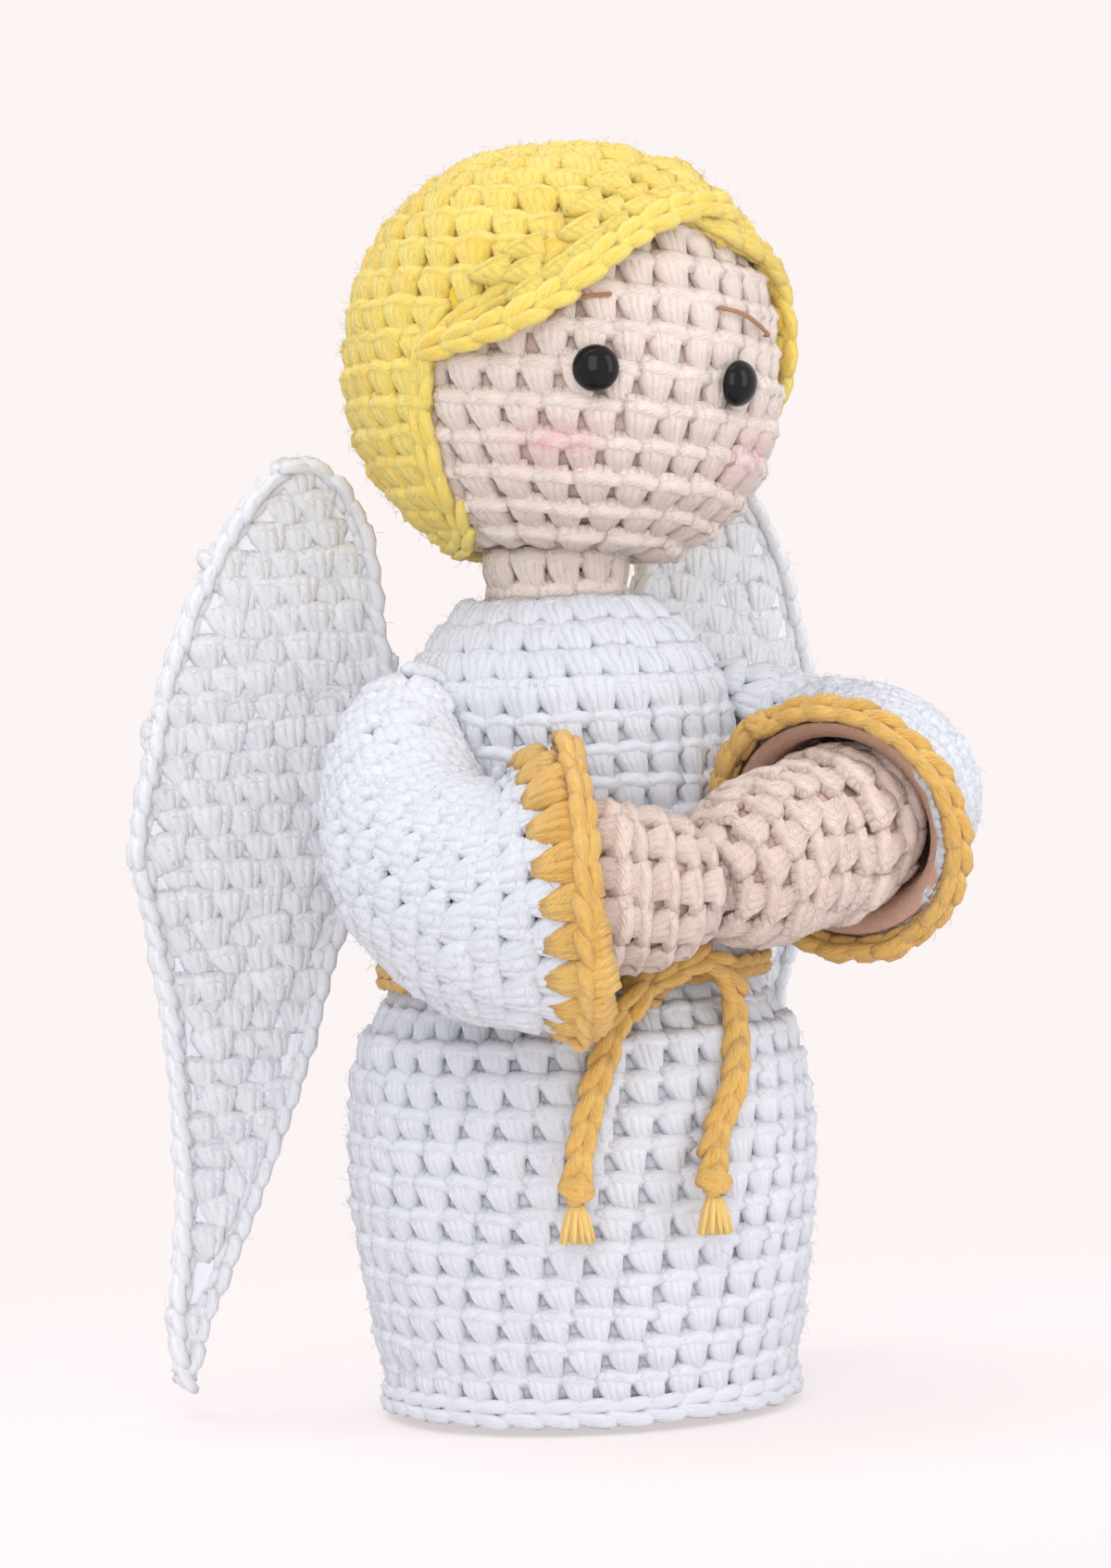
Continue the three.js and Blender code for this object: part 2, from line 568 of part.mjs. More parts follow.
// Tails: a cord, the knot at its end, and the tassel of yarn ends below the knot
for (const side of Object.keys(sideSigns)) {
  const points = tailRoutes[side].map(([around, off, drop]) => {
    const height = waistHeight - drop * tailDrop;
    const reach = dressRadius(height) + off * tailRadius;
    return new THREE.Vector3(reach * Math.sin(radians(around)), -reach * Math.cos(radians(around)), height);
  });
  addPiece(`belt_tail_${side}`, solidOf(cordAlong(points, tailRadius, points.length + 2)), gold);
  const downward = points.at(-1).clone().sub(points.at(-2)).normalize();
  const knotCentre = points.at(-1).clone().addScaledVector(downward, gap + tailKnotRadius);
  const endKnot = new THREE.SphereGeometry(tailKnotRadius, 12, 8).translate(...knotCentre.toArray());
  addPiece(`tail_knot_${side}`, solidOf(endKnot), gold);
  const tassel = revolve([[0, -tasselLength], [tasselRadius, -tasselLength], [tasselNeck, 0], [0, 0]], 12);
  tassel.translate(knotCentre.x, knotCentre.y, knotCentre.z - tailKnotRadius - gap);
  addPiece(`tail_tassel_${side}`, solidOf(tassel), gold);
}

export default doll;
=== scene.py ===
import bpy
import math
import numpy as np
from mathutils import Matrix, Vector


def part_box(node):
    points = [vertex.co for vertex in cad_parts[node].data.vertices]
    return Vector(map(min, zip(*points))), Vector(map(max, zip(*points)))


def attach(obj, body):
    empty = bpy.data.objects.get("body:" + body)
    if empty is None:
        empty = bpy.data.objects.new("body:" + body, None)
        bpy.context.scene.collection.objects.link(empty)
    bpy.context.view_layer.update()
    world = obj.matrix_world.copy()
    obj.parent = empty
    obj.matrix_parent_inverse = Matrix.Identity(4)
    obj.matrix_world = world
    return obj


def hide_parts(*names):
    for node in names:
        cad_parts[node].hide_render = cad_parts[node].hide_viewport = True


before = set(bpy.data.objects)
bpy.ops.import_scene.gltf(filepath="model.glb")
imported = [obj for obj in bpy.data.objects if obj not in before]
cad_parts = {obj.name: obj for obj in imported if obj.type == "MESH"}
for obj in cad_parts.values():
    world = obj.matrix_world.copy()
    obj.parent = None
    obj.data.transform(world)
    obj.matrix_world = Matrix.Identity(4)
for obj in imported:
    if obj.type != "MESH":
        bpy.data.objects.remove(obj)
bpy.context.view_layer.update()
mm = 0.001  # everything below is worked out in millimetres and written in metres
scene = bpy.context.scene
scene.view_settings.view_transform = "Standard"


class Link:  # a socket of a node tree, with arithmetic
    def __init__(self, tree, socket=None):
        self.tree = tree
        self.socket = socket

    def give(self, node, inputs):
        for key, value in inputs.items():
            if isinstance(value, Link):
                self.tree.links.new(value.socket, node.inputs[key])
            else:
                node.inputs[key].default_value = value

    def add(self, kind, settings=None, inputs=None, out=0):
        node = self.tree.nodes.new(kind)
        for key, value in (settings or {}).items():
            setattr(node, key, value)
        self.give(node, inputs or {})
        return Link(self.tree, node.outputs[out])

    def beside(self, out):  # another socket of the same node
        return Link(self.tree, self.socket.node.outputs[out])

    def math(self, operation, *others):
        return self.add("ShaderNodeMath", {"operation": operation}, dict(enumerate((self, *others))))

    def within(self, high=1):
        return self.math("MAXIMUM", 0).math("MINIMUM", high)

    def mixed(self, first, second):  # self is the share of the second colour
        return self.add("ShaderNodeMix", {"data_type": "RGBA"}, {0: self, 6: first, 7: second}, 2)

    def vector(self, operation, inputs, out=0):
        return self.add("ShaderNodeVectorMath", {"operation": operation}, inputs, out)

    def noise(self, place, scale, detail, distortion=0, out=0):
        return self.add("ShaderNodeTexNoise", None, {
            "Vector": place, "Scale": scale, "Detail": detail, "Distortion": distortion}, out)

    def place(self):  # in the object's own frame
        return self.add("ShaderNodeTexCoord", None, None, 3)

    def __add__(self, other):
        return self.math("ADD", other)

    def __sub__(self, other):
        return self.math("SUBTRACT", other)

    def __rsub__(self, other):
        return self.add("ShaderNodeMath", {"operation": "SUBTRACT"}, {0: other, 1: self})

    def __mul__(self, other):
        return self.math("MULTIPLY", other)

    def __pow__(self, other):
        return self.math("POWER", other)

    __radd__ = __add__


def colourOf(red, green, blue):  # from the 0 to 255 values of a screen colour
    parts = [value / 255 for value in (red, green, blue)]
    return (*(p / 12.92 if p <= 0.04045 else ((p + 0.055) / 1.055) ** 2.4 for p in parts), 1)


def bareMaterial(name):
    material = bpy.data.materials.new(name)
    material.use_nodes = True
    return material, material.node_tree.nodes["Principled BSDF"], Link(material.node_tree)


def bareObject(name, data, *materials):
    thing = bpy.data.objects.new(name, data)
    scene.collection.objects.link(thing)
    for material in materials:
        data.materials.append(material)
    return thing


def newMesh(name, places, faces, smooth=True):  # places in millimetres
    mesh = bpy.data.meshes.new(name)
    mesh.from_pydata([tuple(p * mm) for p in places], [], faces)
    if smooth:
        mesh.polygons.foreach_set("use_smooth", [True] * len(mesh.polygons))
    return mesh


# Camera and light
cameraSetup = {
    "azimuth": -25,  # from the front, towards the doll's right
    "distance": 720,
    "height": 107,
    "aim": (0, 0, 82),
    "roll": 2.5,
    "lens": 8.26 * 720,  # in pixels of the picture
    "picture": (1200, 1694),
    "aimAt": (611, 843),  # where the aim falls in the picture
}


def makeCamera(setup):
    turn = math.radians(setup["azimuth"])
    place = Vector((math.sin(turn) * setup["distance"], -math.cos(turn) * setup["distance"], setup["height"]))
    data = bpy.data.cameras.new("camera")
    wide, tall = setup["picture"]
    data.sensor_width = 36
    data.lens = 36 * setup["lens"] / tall
    data.shift_x = (wide / 2 - setup["aimAt"][0]) / tall
    data.shift_y = (setup["aimAt"][1] - tall / 2) / tall
    data.clip_start = 0.02
    data.clip_end = 20
    camera = bareObject("camera", data)
    looking = (Vector(setup["aim"]) - place).to_track_quat("-Z", "Y").to_matrix().to_4x4()
    rolled = looking @ Matrix.Rotation(math.radians(-setup["roll"]), 4, "Z")
    camera.matrix_world = Matrix.Translation(place * mm) @ rolled
    scene.camera = camera


makeCamera(cameraSetup)

studio = {
    "backdrop": colourOf(253, 244, 244),
    "floor": colourOf(250, 242, 242),
    "fill": (0.84 * 0.985, 0.84 * 0.985, 0.84, 1),  # light from all round
    "flat": 0.6,  # how much of the floor is plain backdrop
    "fade": (0.06, 8),  # where the floor starts to fade, and how fast
    "half": 300,  # half the floor's side
    "below": 0.2,
    "lit": (0, 0, 0.08),  # where the lamps point, in metres
    "lamps": (  # name, place in metres, width, height, watts
        ("key", (-0.6, -1.05, 0.5), 0.7, 1.3, 7),
        ("side", (0.75, -0.85, 0.35), 0.5, 1.2, 4),
        ("top", (-0.3, 0.15, 1.2), 0.9, 0.9, 4),
    ),
}


def seenDirectly(maker):  # by the camera, in a shiny face or through a clear one
    path = maker.add("ShaderNodeLightPath")
    return (path + path.beside("Is Glossy Ray") + path.beside("Is Transmission Ray")).math("MINIMUM", 1)


def makeStudio(setup):
    world = bpy.data.worlds.new("studio")
    scene.world = world
    world.use_nodes = True
    maker = Link(world.node_tree)
    shown = seenDirectly(maker).mixed(setup["fill"], setup["backdrop"])
    maker.give(world.node_tree.nodes["Background"], {"Color": shown})
    for name, place, wide, tall, watts in setup["lamps"]:
        lamp = bpy.data.lights.new(name, "AREA")
        lamp.shape = "RECTANGLE"
        lamp.size, lamp.size_y, lamp.energy = wide, tall, watts
        thing = bareObject(name, lamp)
        thing.location = place
        thing.rotation_euler = (Vector(setup["lit"]) - Vector(place)).to_track_quat("-Z", "Y").to_euler()
    material, shader, maker = bareMaterial("pale_floor")
    maker.give(shader, {"Base Color": setup["floor"], "Roughness": 0.9, "Specular IOR Level": 0.1})
    flat = maker.add("ShaderNodeEmission", None, {"Color": setup["backdrop"]})
    lit = Link(maker.tree, shader.outputs[0])
    mix = maker.add("ShaderNodeMixShader", None, {0: seenDirectly(maker) * setup["flat"], 1: lit, 2: flat})
    start, speed = setup["fade"]
    fade = ((maker.vector("LENGTH", {0: maker.place()}, 1) - start) * speed).within()
    gone = maker.add("ShaderNodeBsdfTransparent")
    faded = maker.add("ShaderNodeMixShader", None, {0: fade, 1: mix, 2: gone})
    maker.give(maker.tree.nodes["Material Output"], {"Surface": faded})
    corners = np.array([(-1, -1, 0), (1, -1, 0), (1, 1, 0), (-1, 1, 0)]) * setup["half"]
    floor = bareObject("floor", newMesh("floor", corners, [(0, 1, 2, 3)], False), material)
    floor.location.z = -setup["below"] * mm


makeStudio(studio)
print("camera and studio made")

# Yarns: ply ridges and fibres follow each strand; the grooves between the plies get painted shade, and fibre streaks,
# patches and a random tone draw towards the same darker colour
yarns = {
    "white_yarn": {"colour": (233, 235, 243), "shadeAndTone": (221, 224, 234), "plies": 3, "depth": 0.6},
    # the next two are one skin yarn: the face's copy is painted lighter against its shade, the hands' copy painted
    # darker against the light from above
    "skin_yarn": {"colour": (254, 240, 232), "shadeAndTone": (248, 222, 209), "plies": 3, "depth": 0.74},
    "hand_yarn_darkened": {"colour": (250, 230, 219), "shadeAndTone": (240, 205, 190), "plies": 3, "depth": 0.85},
    "yellow_yarn": {"colour": (255, 234, 126), "shadeAndTone": (255, 205, 76), "plies": 3, "depth": 0.7},
    "gold_yarn": {"colour": (255, 209, 114), "shadeAndTone": (238, 168, 70), "plies": 3, "depth": 0.9},
    # the white yarn painted lighter for the wings, against the shade they stand in
    "wing_yarn_lightened": {"colour": (243, 243, 248), "shadeAndTone": (232, 233, 241), "plies": 3, "depth": 0.6},
    "cut_ends": {"colour": (255, 222, 138), "shadeAndTone": (250, 196, 98), "plies": 3, "depth": 0.6},
    "brow_thread": {"colour": (200, 144, 104), "shadeAndTone": (166, 110, 72), "plies": 2, "depth": 0.6},
}
blush = {
    "colour": (246, 160, 186),
    "centres": ((-31.5, -26.5), (41, -25.5)),  # degrees round from the face and up
    "size": (7.4, 7.4, 4.4),
    "share": 0.5,
}


def yarnMaterial(name, cheeks=()):
    yarn = yarns[name]
    material, shader, maker = bareMaterial(name)
    strand = maker.add("ShaderNodeAttribute", {"attribute_name": "strand"}, None, 1)
    around = maker.add("ShaderNodeSeparateXYZ", None, {0: strand})
    along = around.beside(1)  # in yarn widths
    twist = (around + along * 0.16) * (2 * math.pi)
    ply = (twist * (yarn["plies"] / 2)).math("SINE").math("ABSOLUTE")
    fibreAt = maker.add("ShaderNodeCombineXYZ", None, {
        0: twist.math("COSINE") * 6, 1: twist.math("SINE") * 6, 2: along * 0.8})
    fibre = maker.noise(fibreAt, 1.6, 3)
    place = maker.place()
    fuzz, patch = maker.noise(place, 2600, 2), maker.noise(place, 160, 2)
    tone = maker.add("ShaderNodeAttribute", {"attribute_name": "tone"}, None, 2)
    # painted shade in the ply grooves, mixed with fibre streaks, patches and random tone
    shadeAndTone = (1 - ply) ** 3 * 0.3 + (0.58 - fibre) * 2.6 + (patch - 0.5) * 0.4 + tone * 0.12
    colour = shadeAndTone.within().mixed(colourOf(*yarn["colour"]), colourOf(*yarn["shadeAndTone"]))
    for centre in cheeks:  # rouge rubbed on the raised strands
        offset = maker.vector("SUBTRACT", {0: place, 1: centre * mm})
        spread = maker.vector("DIVIDE", {0: offset, 1: [v * mm for v in blush["size"]]})
        near = (1.1 - maker.vector("LENGTH", {0: spread}, 1)).math("MAXIMUM", 0)
        mask = near * (maker.noise(place, 620, 2) * 1.6 + fibre * 1.6 - 1.2)
        colour = mask.within(blush["share"]).mixed(colour, colourOf(*blush["colour"]))
    bump = maker.add("ShaderNodeBump", None, {
        "Strength": yarn["depth"], "Distance": 0.5 * mm, "Height": ply * 0.25 + fibre * 1.1 + fuzz * 0.4})
    maker.give(shader, {"Base Color": colour, "Normal": bump, "Roughness": 0.88, "Specular IOR Level": 0.25,
                        "Sheen Weight": 0.35, "Sheen Roughness": 0.45})
    return material


def fillingMaterial(name, colour, shade):  # loose fibre seen between the stitches
    material, shader, maker = bareMaterial(name)
    place = maker.place()
    tangle = maker.noise(place, 2400, 3, 1.5)
    mixed = (maker.noise(place, 900, 4) * 0.6 + tangle * 0.4).mixed(colourOf(*shade), colourOf(*colour))
    bump = maker.add("ShaderNodeBump", None, {"Strength": 0.6, "Distance": 0.4 * mm, "Height": tangle})
    maker.give(shader, {"Base Color": mixed, "Normal": bump, "Roughness": 0.95, "Specular IOR Level": 0.1})
    return material


# Curves: a smooth line through points, lengths along a line, and points spaced evenly on it
def spline(points, share):
    points = np.asarray(points, float)
    place = (len(points) - 1) * min(max(share, 0), 1)
    k = min(int(place), len(points) - 2)
    p0, p1 = points[max(k - 1, 0)], points[k]
    p2, p3 = points[k + 1], points[min(k + 2, len(points) - 1)]
    t = place - k
    v0, v1 = (p2 - p0) / 2, (p3 - p1) / 2
    return (2 * p1 - 2 * p2 + v0 + v1) * t**3 + (3 * p2 - 3 * p1) * t * t - (2 * v0 + v1) * t * t + v0 * t + p1


def runOf(points):  # how far along the line each point is
    return np.concatenate([[0], np.cumsum(np.linalg.norm(np.diff(points, axis=0), axis=1))])


def lengthOf(points):
    return float(np.linalg.norm(np.diff(points, axis=0), axis=1).sum())


def evenly(points, spacing, closed=False):  # points along a line, at a whole number of steps
    line = np.asarray(points, float)
    if closed:
        line = np.vstack([line, line[:1]])
    run = runOf(line)
    at = np.linspace(0, run[-1], max(2, round(run[-1] / spacing)) + 1)
    if closed:
        at = at[:-1]
    return np.stack([np.interp(at, run, line[:, k]) for k in range(line.shape[1])], axis=1)


def unit(vector):
    vector = np.asarray(vector, float)
    return vector / max(np.linalg.norm(vector), 1e-9)


def polar(radius, angle, height):  # round the vertical axis, from the front
    return np.array((radius * math.sin(angle), -radius * math.cos(angle), height))


def ringSpot(centre, radius, across, over, angle):
    return centre + radius * (across * math.cos(angle) + over * math.sin(angle))


# Strands: each a row of (x, y, z, thickness) points, made into closed tubes with their own coordinates
def strandMesh(name, strands, sides, rings):
    places, faces, marks = [], [], []
    for strand in strands:
        strand = np.asarray(strand, float)
        stations = np.array([spline(strand, k / (rings - 1)) for k in range(rings)])
        centres, radii = stations[:, :3], stations[:, 3]
        run = runOf(centres)
        ways = [unit(centres[min(k + 1, rings - 1)] - centres[max(k - 1, 0)]) for k in range(rings)]
        across = unit(np.cross(ways[0], (0.31, 0.22, 0.93)))
        first = len(places)
        for k in range(rings):
            across = unit(across - ways[k] * np.dot(across, ways[k]))
            over = np.cross(ways[k], across)
            for s in range(sides):
                places.append(ringSpot(centres[k], radii[k], across, over, 2 * math.pi * s / sides))
        width = 2 * float(radii.max())
        for k in range(rings - 1):
            for s in range(sides):
                n = (s + 1) % sides
                a, b = first + k * sides, first + (k + 1) * sides
                faces.append((a + s, a + n, b + n, b + s))
                low, high = run[k] / width, run[k + 1] / width
                marks += [(s / sides, low), ((s + 1) / sides, low), ((s + 1) / sides, high), (s / sides, high)]
        last = first + (rings - 1) * sides
        faces.append(tuple(first + s for s in reversed(range(sides))))
        faces.append(tuple(last + s for s in range(sides)))
        marks += [(s / sides, 0) for s in reversed(range(sides))]
        marks += [(s / sides, run[-1] / width) for s in range(sides)]
    mesh = newMesh(name, places, faces)
    mesh.uv_layers.new(name="strand").data.foreach_set("uv", np.array(marks, float).ravel())
    return mesh


# One single-crochet stitch, 5.4 wide and 4.5 tall: two legs rise from one hole, lean left, and carry a top loop
stitchShape = {"wide": 5.4, "tall": 4.5, "wander": 1.8}  # how far loose yarn wanders

# Where the two plies of each leg stand at foot, low, middle and top
openLegs = ((0.1, -0.8, -1.85, -2.6), (0.4, -0.25, -1.0, -1.45), (0.65, 0.4, 0.0, -0.2), (1.0, 0.85, 0.8, 1.05))
closeLegs = ((0.1, -0.45, -1.6, -2.55), (0.55, 0.2, -0.5, -1.0), (0.95, 0.95, 0.85, 0.65), (1.4, 1.75, 2.15, 2.2))
halfLegs = ((0.1, -0.65, -1.75, -2.6), (0.5, 0.0, -0.8, -1.25), (0.8, 0.7, 0.4, 0.25), (1.2, 1.3, 1.4, 1.55))
toothLegs = ((0.1, -0.6, -1.75, -2.2), (0.45, 0.15, -0.65, -0.9), (0.85, 0.95, 0.75, 0.65), (1.2, 1.7, 2.0, 2.1))


def stitchStrands(legs, fat=1.0, loop=0.7):  # loop is how far the top loop stands out
    strands = []
    for (foot, low, middle, top), front in zip(legs, (0, 0.2, 0.2, 0)):
        strands.append([(foot, -1.0, -0.7, 0.8 * fat), (low, 0.6, 0.3 + front, 0.95 * fat),
                        (middle, 2.5, 0.5 + front, 1.15 * fat), (top, 4.1, 0.4 + front, 1.18 * fat),
                        (top, 5.0, -0.5, 0.85 * fat)])
    if loop:
        strands.append([(-3.3, 3.8, loop - 0.4, 1.05 * fat), (-1.0, 4.1, loop, 1.2 * fat),
                        (0.9, 4.0, loop, 1.2 * fat), (3.1, 3.7, loop - 0.4, 1.05 * fat)])
    return strands


# One chain link, 3.9 long: two strands that open from its foot round the foot of the next, and a bump behind
linkShape = {"long": 3.9}


def linkStrands():
    strands = [[(0.15 * s, -1.7, -0.5, 0.75), (0.55 * s, -0.1, 0.5, 1.1), (1.0 * s, 1.7, 0.75, 1.25),
                (1.25 * s, 3.4, 0.35, 1.15), (1.05 * s, 4.5, -0.5, 0.75)] for s in (-1, 1)]
    return strands + [[(0, -0.6, -0.7, 0.95), (0, 1.4, -1.0, 1.1), (0, 3.4, -0.7, 0.95)]]


# A node tree that sets a stitch on every point, turned to its surface, a little uneven as handwork is
def stitchTree():
    tree = bpy.data.node_groups.new("lay_stitches", "GeometryNodeTree")
    face = tree.interface
    wanted = {"Points": "Geometry", "Stitch": "Object", "Yarn": "Material", "Turn": "Float", "Vary": "Float",
              "Loose": "Float", "Seed": "Int", "Hair": "Object", "Fuzz": "Float"}
    for name, kind in wanted.items():
        face.new_socket(name, in_out="INPUT", socket_type="NodeSocket" + kind)
    face.new_socket("Fabric", in_out="OUTPUT", socket_type="NodeSocketGeometry")
    maker = Link(tree)
    start = tree.nodes.new("NodeGroupInput")
    given = {name: Link(tree, start.outputs[name]) for name in wanted}

    def stored(name):
        return maker.add("GeometryNodeInputNamedAttribute", {"data_type": "FLOAT_VECTOR"}, {0: name})

    def chance(low, high, shift):  # a random number for each point, from the seed
        return maker.add("FunctionNodeRandomValue", {"data_type": "FLOAT"},
                         {2: low, 3: high, 8: given["Seed"] + shift}, 1)

    def rotated(rotation, turns):
        euler = maker.add("ShaderNodeCombineXYZ", None, turns)
        tilt = maker.add("FunctionNodeEulerToRotation", None, {0: euler})
        return maker.add("FunctionNodeRotateRotation", {"rotation_space": "LOCAL"}, {0: rotation, 1: tilt})

    def copies(points, thing, rotation, scale):
        shape = maker.add("GeometryNodeObjectInfo", None, {0: given[thing]}, "Geometry")
        return maker.add("GeometryNodeInstanceOnPoints", None, {
            "Points": points, "Instance": shape, "Rotation": rotation, "Scale": scale})

    facing = maker.add("FunctionNodeAxesToRotation", {"primary_axis": "Z", "secondary_axis": "Y"},
                       {0: stored("out"), 1: stored("rise")})
    posed = rotated(facing, {k: chance(0 - given["Turn"], given["Turn"], k) for k in range(3)})
    grow = chance(1 - given["Vary"], 1 + given["Vary"], 7)
    size = maker.vector("SCALE", {0: stored("size"), "Scale": grow})
    laid = copies(given["Points"], "Stitch", posed, size)
    toned = maker.add("GeometryNodeStoreNamedAttribute", {"data_type": "FLOAT", "domain": "INSTANCE"}, {
        "Geometry": laid, "Name": "tone", "Value": chance(-1, 1, 11)})
    real = maker.add("GeometryNodeRealizeInstances", None, {0: toned})
    wander = maker.noise(maker.add("GeometryNodeInputPosition"), 330, 2, 0, 1)
    middle = maker.vector("SUBTRACT", {0: wander, 1: (0.5, 0.5, 0.5)})
    shift = maker.vector("SCALE", {0: middle, "Scale": given["Loose"]})
    soft = maker.add("GeometryNodeSetPosition", None, {"Geometry": real, "Offset": shift})
    roots = maker.add("GeometryNodeDistributePointsOnFaces", None, {
        "Mesh": soft, "Density": given["Fuzz"], "Seed": given["Seed"]})
    spun = rotated(roots.beside("Rotation"), {2: chance(0, 6.28, 13)})
    hairs = copies(roots, "Hair", spun, chance(0.35, 0.9, 17))
    fuzzy = maker.add("GeometryNodeRealizeInstances", None, {0: hairs})
    whole = maker.add("GeometryNodeJoinGeometry")
    for part in (soft, fuzzy):
        tree.links.new(part.socket, whole.socket.node.inputs[0])
    dyed = maker.add("GeometryNodeSetMaterial", None, {"Geometry": whole, "Material": given["Yarn"]})
    maker.give(tree.nodes.new("NodeGroupOutput"), {"Fabric": dyed})
    return tree


layStitches = stitchTree()


# Handwork is uneven: turn in radians, vary as a share of the size, loose in steps of the yarn's wander
def stitched(name, spots, stitch, yarn, turn=0.07, vary=0.05, loose=0.5, seed=1, fuzz=80):
    mesh = newMesh(name, [spot[0] for spot in spots], [], False)
    for key, column in (("out", 1), ("rise", 2), ("size", 3)):
        attribute = mesh.attributes.new(key, "FLOAT_VECTOR", "POINT")
        attribute.data.foreach_set("vector", np.array([spot[column] for spot in spots], float).ravel())
    thing = bareObject(name + "_plan", mesh)
    modifier = thing.modifiers.new("stitches", "NODES")
    modifier.node_group = layStitches
    wanted = {"Stitch": stitch, "Yarn": yarn, "Turn": turn, "Vary": vary, "Loose": stitchShape["wander"] * loose * mm,
              "Seed": seed, "Hair": looseHair, "Fuzz": fuzz * 1e3}  # thousands of hairs to the square metre
    for item in layStitches.interface.items_tree:
        if item.in_out == "INPUT" and item.name in wanted:
            modifier[item.identifier] = wanted[item.name]
    done = bpy.data.meshes.new_from_object(thing.evaluated_get(bpy.context.evaluated_depsgraph_get()))
    bpy.data.objects.remove(thing)
    done.name = name
    return bareObject(name, done)


def finished(things, body, node):  # made one piece, with the name of the first
    thing = things[0]
    if len(things) > 1:
        with bpy.context.temp_override(active_object=thing, selected_editable_objects=things):
            bpy.ops.object.join()
    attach(thing, body)
    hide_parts(node)


# Rounds of stitches on a surface given by a turn (0 to 1) and a level (in rounds)
def rounds(surface, levels, wide, lean=0.2, counts=None, keep=None, flip=1):
    spots, phase, near = [], 0.0, 2e-3
    for level in levels:
        around = lengthOf([surface(k / 48, level + 0.5) for k in range(49)])
        count = counts(level) if counts else max(5, round(around / wide))
        phase += lean / count
        for k in range(count):
            turn = k / count + phase
            if keep and not keep(turn, level):
                continue
            side, above = (surface(turn + near, at) - surface(turn - near, at) for at in (level, level + 0.6))
            rise = surface(turn, level + 0.3) - surface(turn, level - 0.3)
            pitch = np.linalg.norm(above) / (2 * near) / count
            tall = np.linalg.norm(rise) / 0.6
            thick = min(1.15, max(0.6, math.sqrt(pitch * tall / (stitchShape["wide"] * stitchShape["tall"]))))
            size = (pitch / stitchShape["wide"], 1.05 * tall / stitchShape["tall"], thick)
            spots.append((surface(turn, level), unit(flip * np.cross(side, rise)), unit(rise), size))
    return spots


# A chain along a line, its face turned outward
def chainOn(line, outAt, size, closed=False):  # size across, along and out
    points = evenly(line, linkShape["long"] * size[1], closed)
    spots = []
    for k, point in enumerate(points):
        before = points[k - 1] if closed or k else point
        after = points[(k + 1) % len(points)] if closed or k + 1 < len(points) else point
        spots.append((point, unit(outAt(point)), unit(after - before), size))
    return spots


def chained(name, line, outAt, size, closed, yarn, *handwork):
    return stitched(name, chainOn(line, outAt, size, closed), chainLink, yarn, *handwork)


# A smooth closed skin over rings of points, for the filling and the buttons
def skinned(name, rings, *materials):
    rings = [np.asarray(ring, float) for ring in rings]
    count, last = len(rings[0]), len(rings) - 1
    places = [p for ring in rings for p in ring] + [rings[0].mean(axis=0), rings[-1].mean(axis=0)]
    faces = []
    for row in range(last):
        for k in range(count):
            n = (k + 1) % count
            a, b = row * count, (row + 1) * count
            faces.append((a + k, a + n, b + n, b + k))
    low, high = len(places) - 2, len(places) - 1
    for k in range(count):
        n = (k + 1) % count
        faces.append((low, n, k))
        faces.append((high, last * count + k, last * count + n))
    return bareObject(name, newMesh(name, places, faces), *materials)


def turned(profile, sides=48):  # rings round the vertical axis from (radius, height) pairs
    angles = [2 * math.pi * k / sides for k in range(sides)]
    return [np.array([polar(r, a, h) for a in angles]) for r, h in profile]


def bedShell(name, ringsAt, material, depths=(0, 0.5)):  # a thin layer of fibre behind the stitches, in a darkened colour that is painted shade for the gaps
    outer, inner = (ringsAt(deep) for deep in depths)
    return skinned(name, [*outer, *inner[::-1]], material)


def prototype(name, strands, sides=5, rings=5):  # kept out of the scene, for the node tree to lay
    return bpy.data.objects.new(name, strandMesh(name, strands, sides, rings))


looseHair = prototype("loose_hair", [[
    (0, 0, -0.15, 0.035), (0.5, 0.15, 0.4, 0.035), (1.3, 0.3, 0.62, 0.03), (2.1, 0.1, 0.5, 0.025)]], 3, 3)
singleStitch = prototype("single_stitch", stitchStrands(openLegs))
denseStitch = prototype("dense_stitch", stitchStrands(closeLegs, 1.2, 0.4))
halfStitch = prototype("half_stitch", stitchStrands(halfLegs, 1.1, 0.6))
edgeStitch = prototype("edge_stitch", stitchStrands(toothLegs, 1.1, 0))
chainLink = prototype("chain_link", linkStrands(), 6)

# Belt: a chain cord tied round the waist, its two tails hanging from the knot to a knot and cut ends of their own
belt = {
    "radius": 25,
    "height": 57.5,
    "link": (0.7, 0.85, 0.5),
    "knot": (-2, -27.4, 57.5),
    "knotSize": 0.92,
    "knotTurn": 0.2,
    "knotLink": 0.52,
    "tailLink": (0.84, 0.95, 0.86),
    "thick": 4.2,
    "tails": {
        "right": ((-0.8, -27.5, 58.3), (-2.8, -28.2, 57.0), (-5, -28.6, 54.9), (-7.1, -27.9, 52.3),
                  (-8.9, -28.6, 49.6), (-10.6, -29.6, 46.4), (-12, -29.8, 43.2), (-13.3, -29.9, 39.6),
                  (-14.6, -30.6, 35.2)),
        "left": ((-1.4, -28.4, 57.4), (1.3, -29.2, 58.7), (4.2, -29, 59.5), (6.7, -28.4, 58.2), (8.6, -27.6, 55.4),
                 (9.3, -27.3, 52), (8.8, -29.4, 48.2), (7.4, -31.1, 44.3), (5.5, -31.9, 41), (3.7, -32.6, 37.7),
                 (2.9, -33.6, 35)),
    },
    "ends": 26,  # cut yarn ends below each knot
}
gold = yarnMaterial("gold_yarn")
cutGold = yarnMaterial("cut_ends")


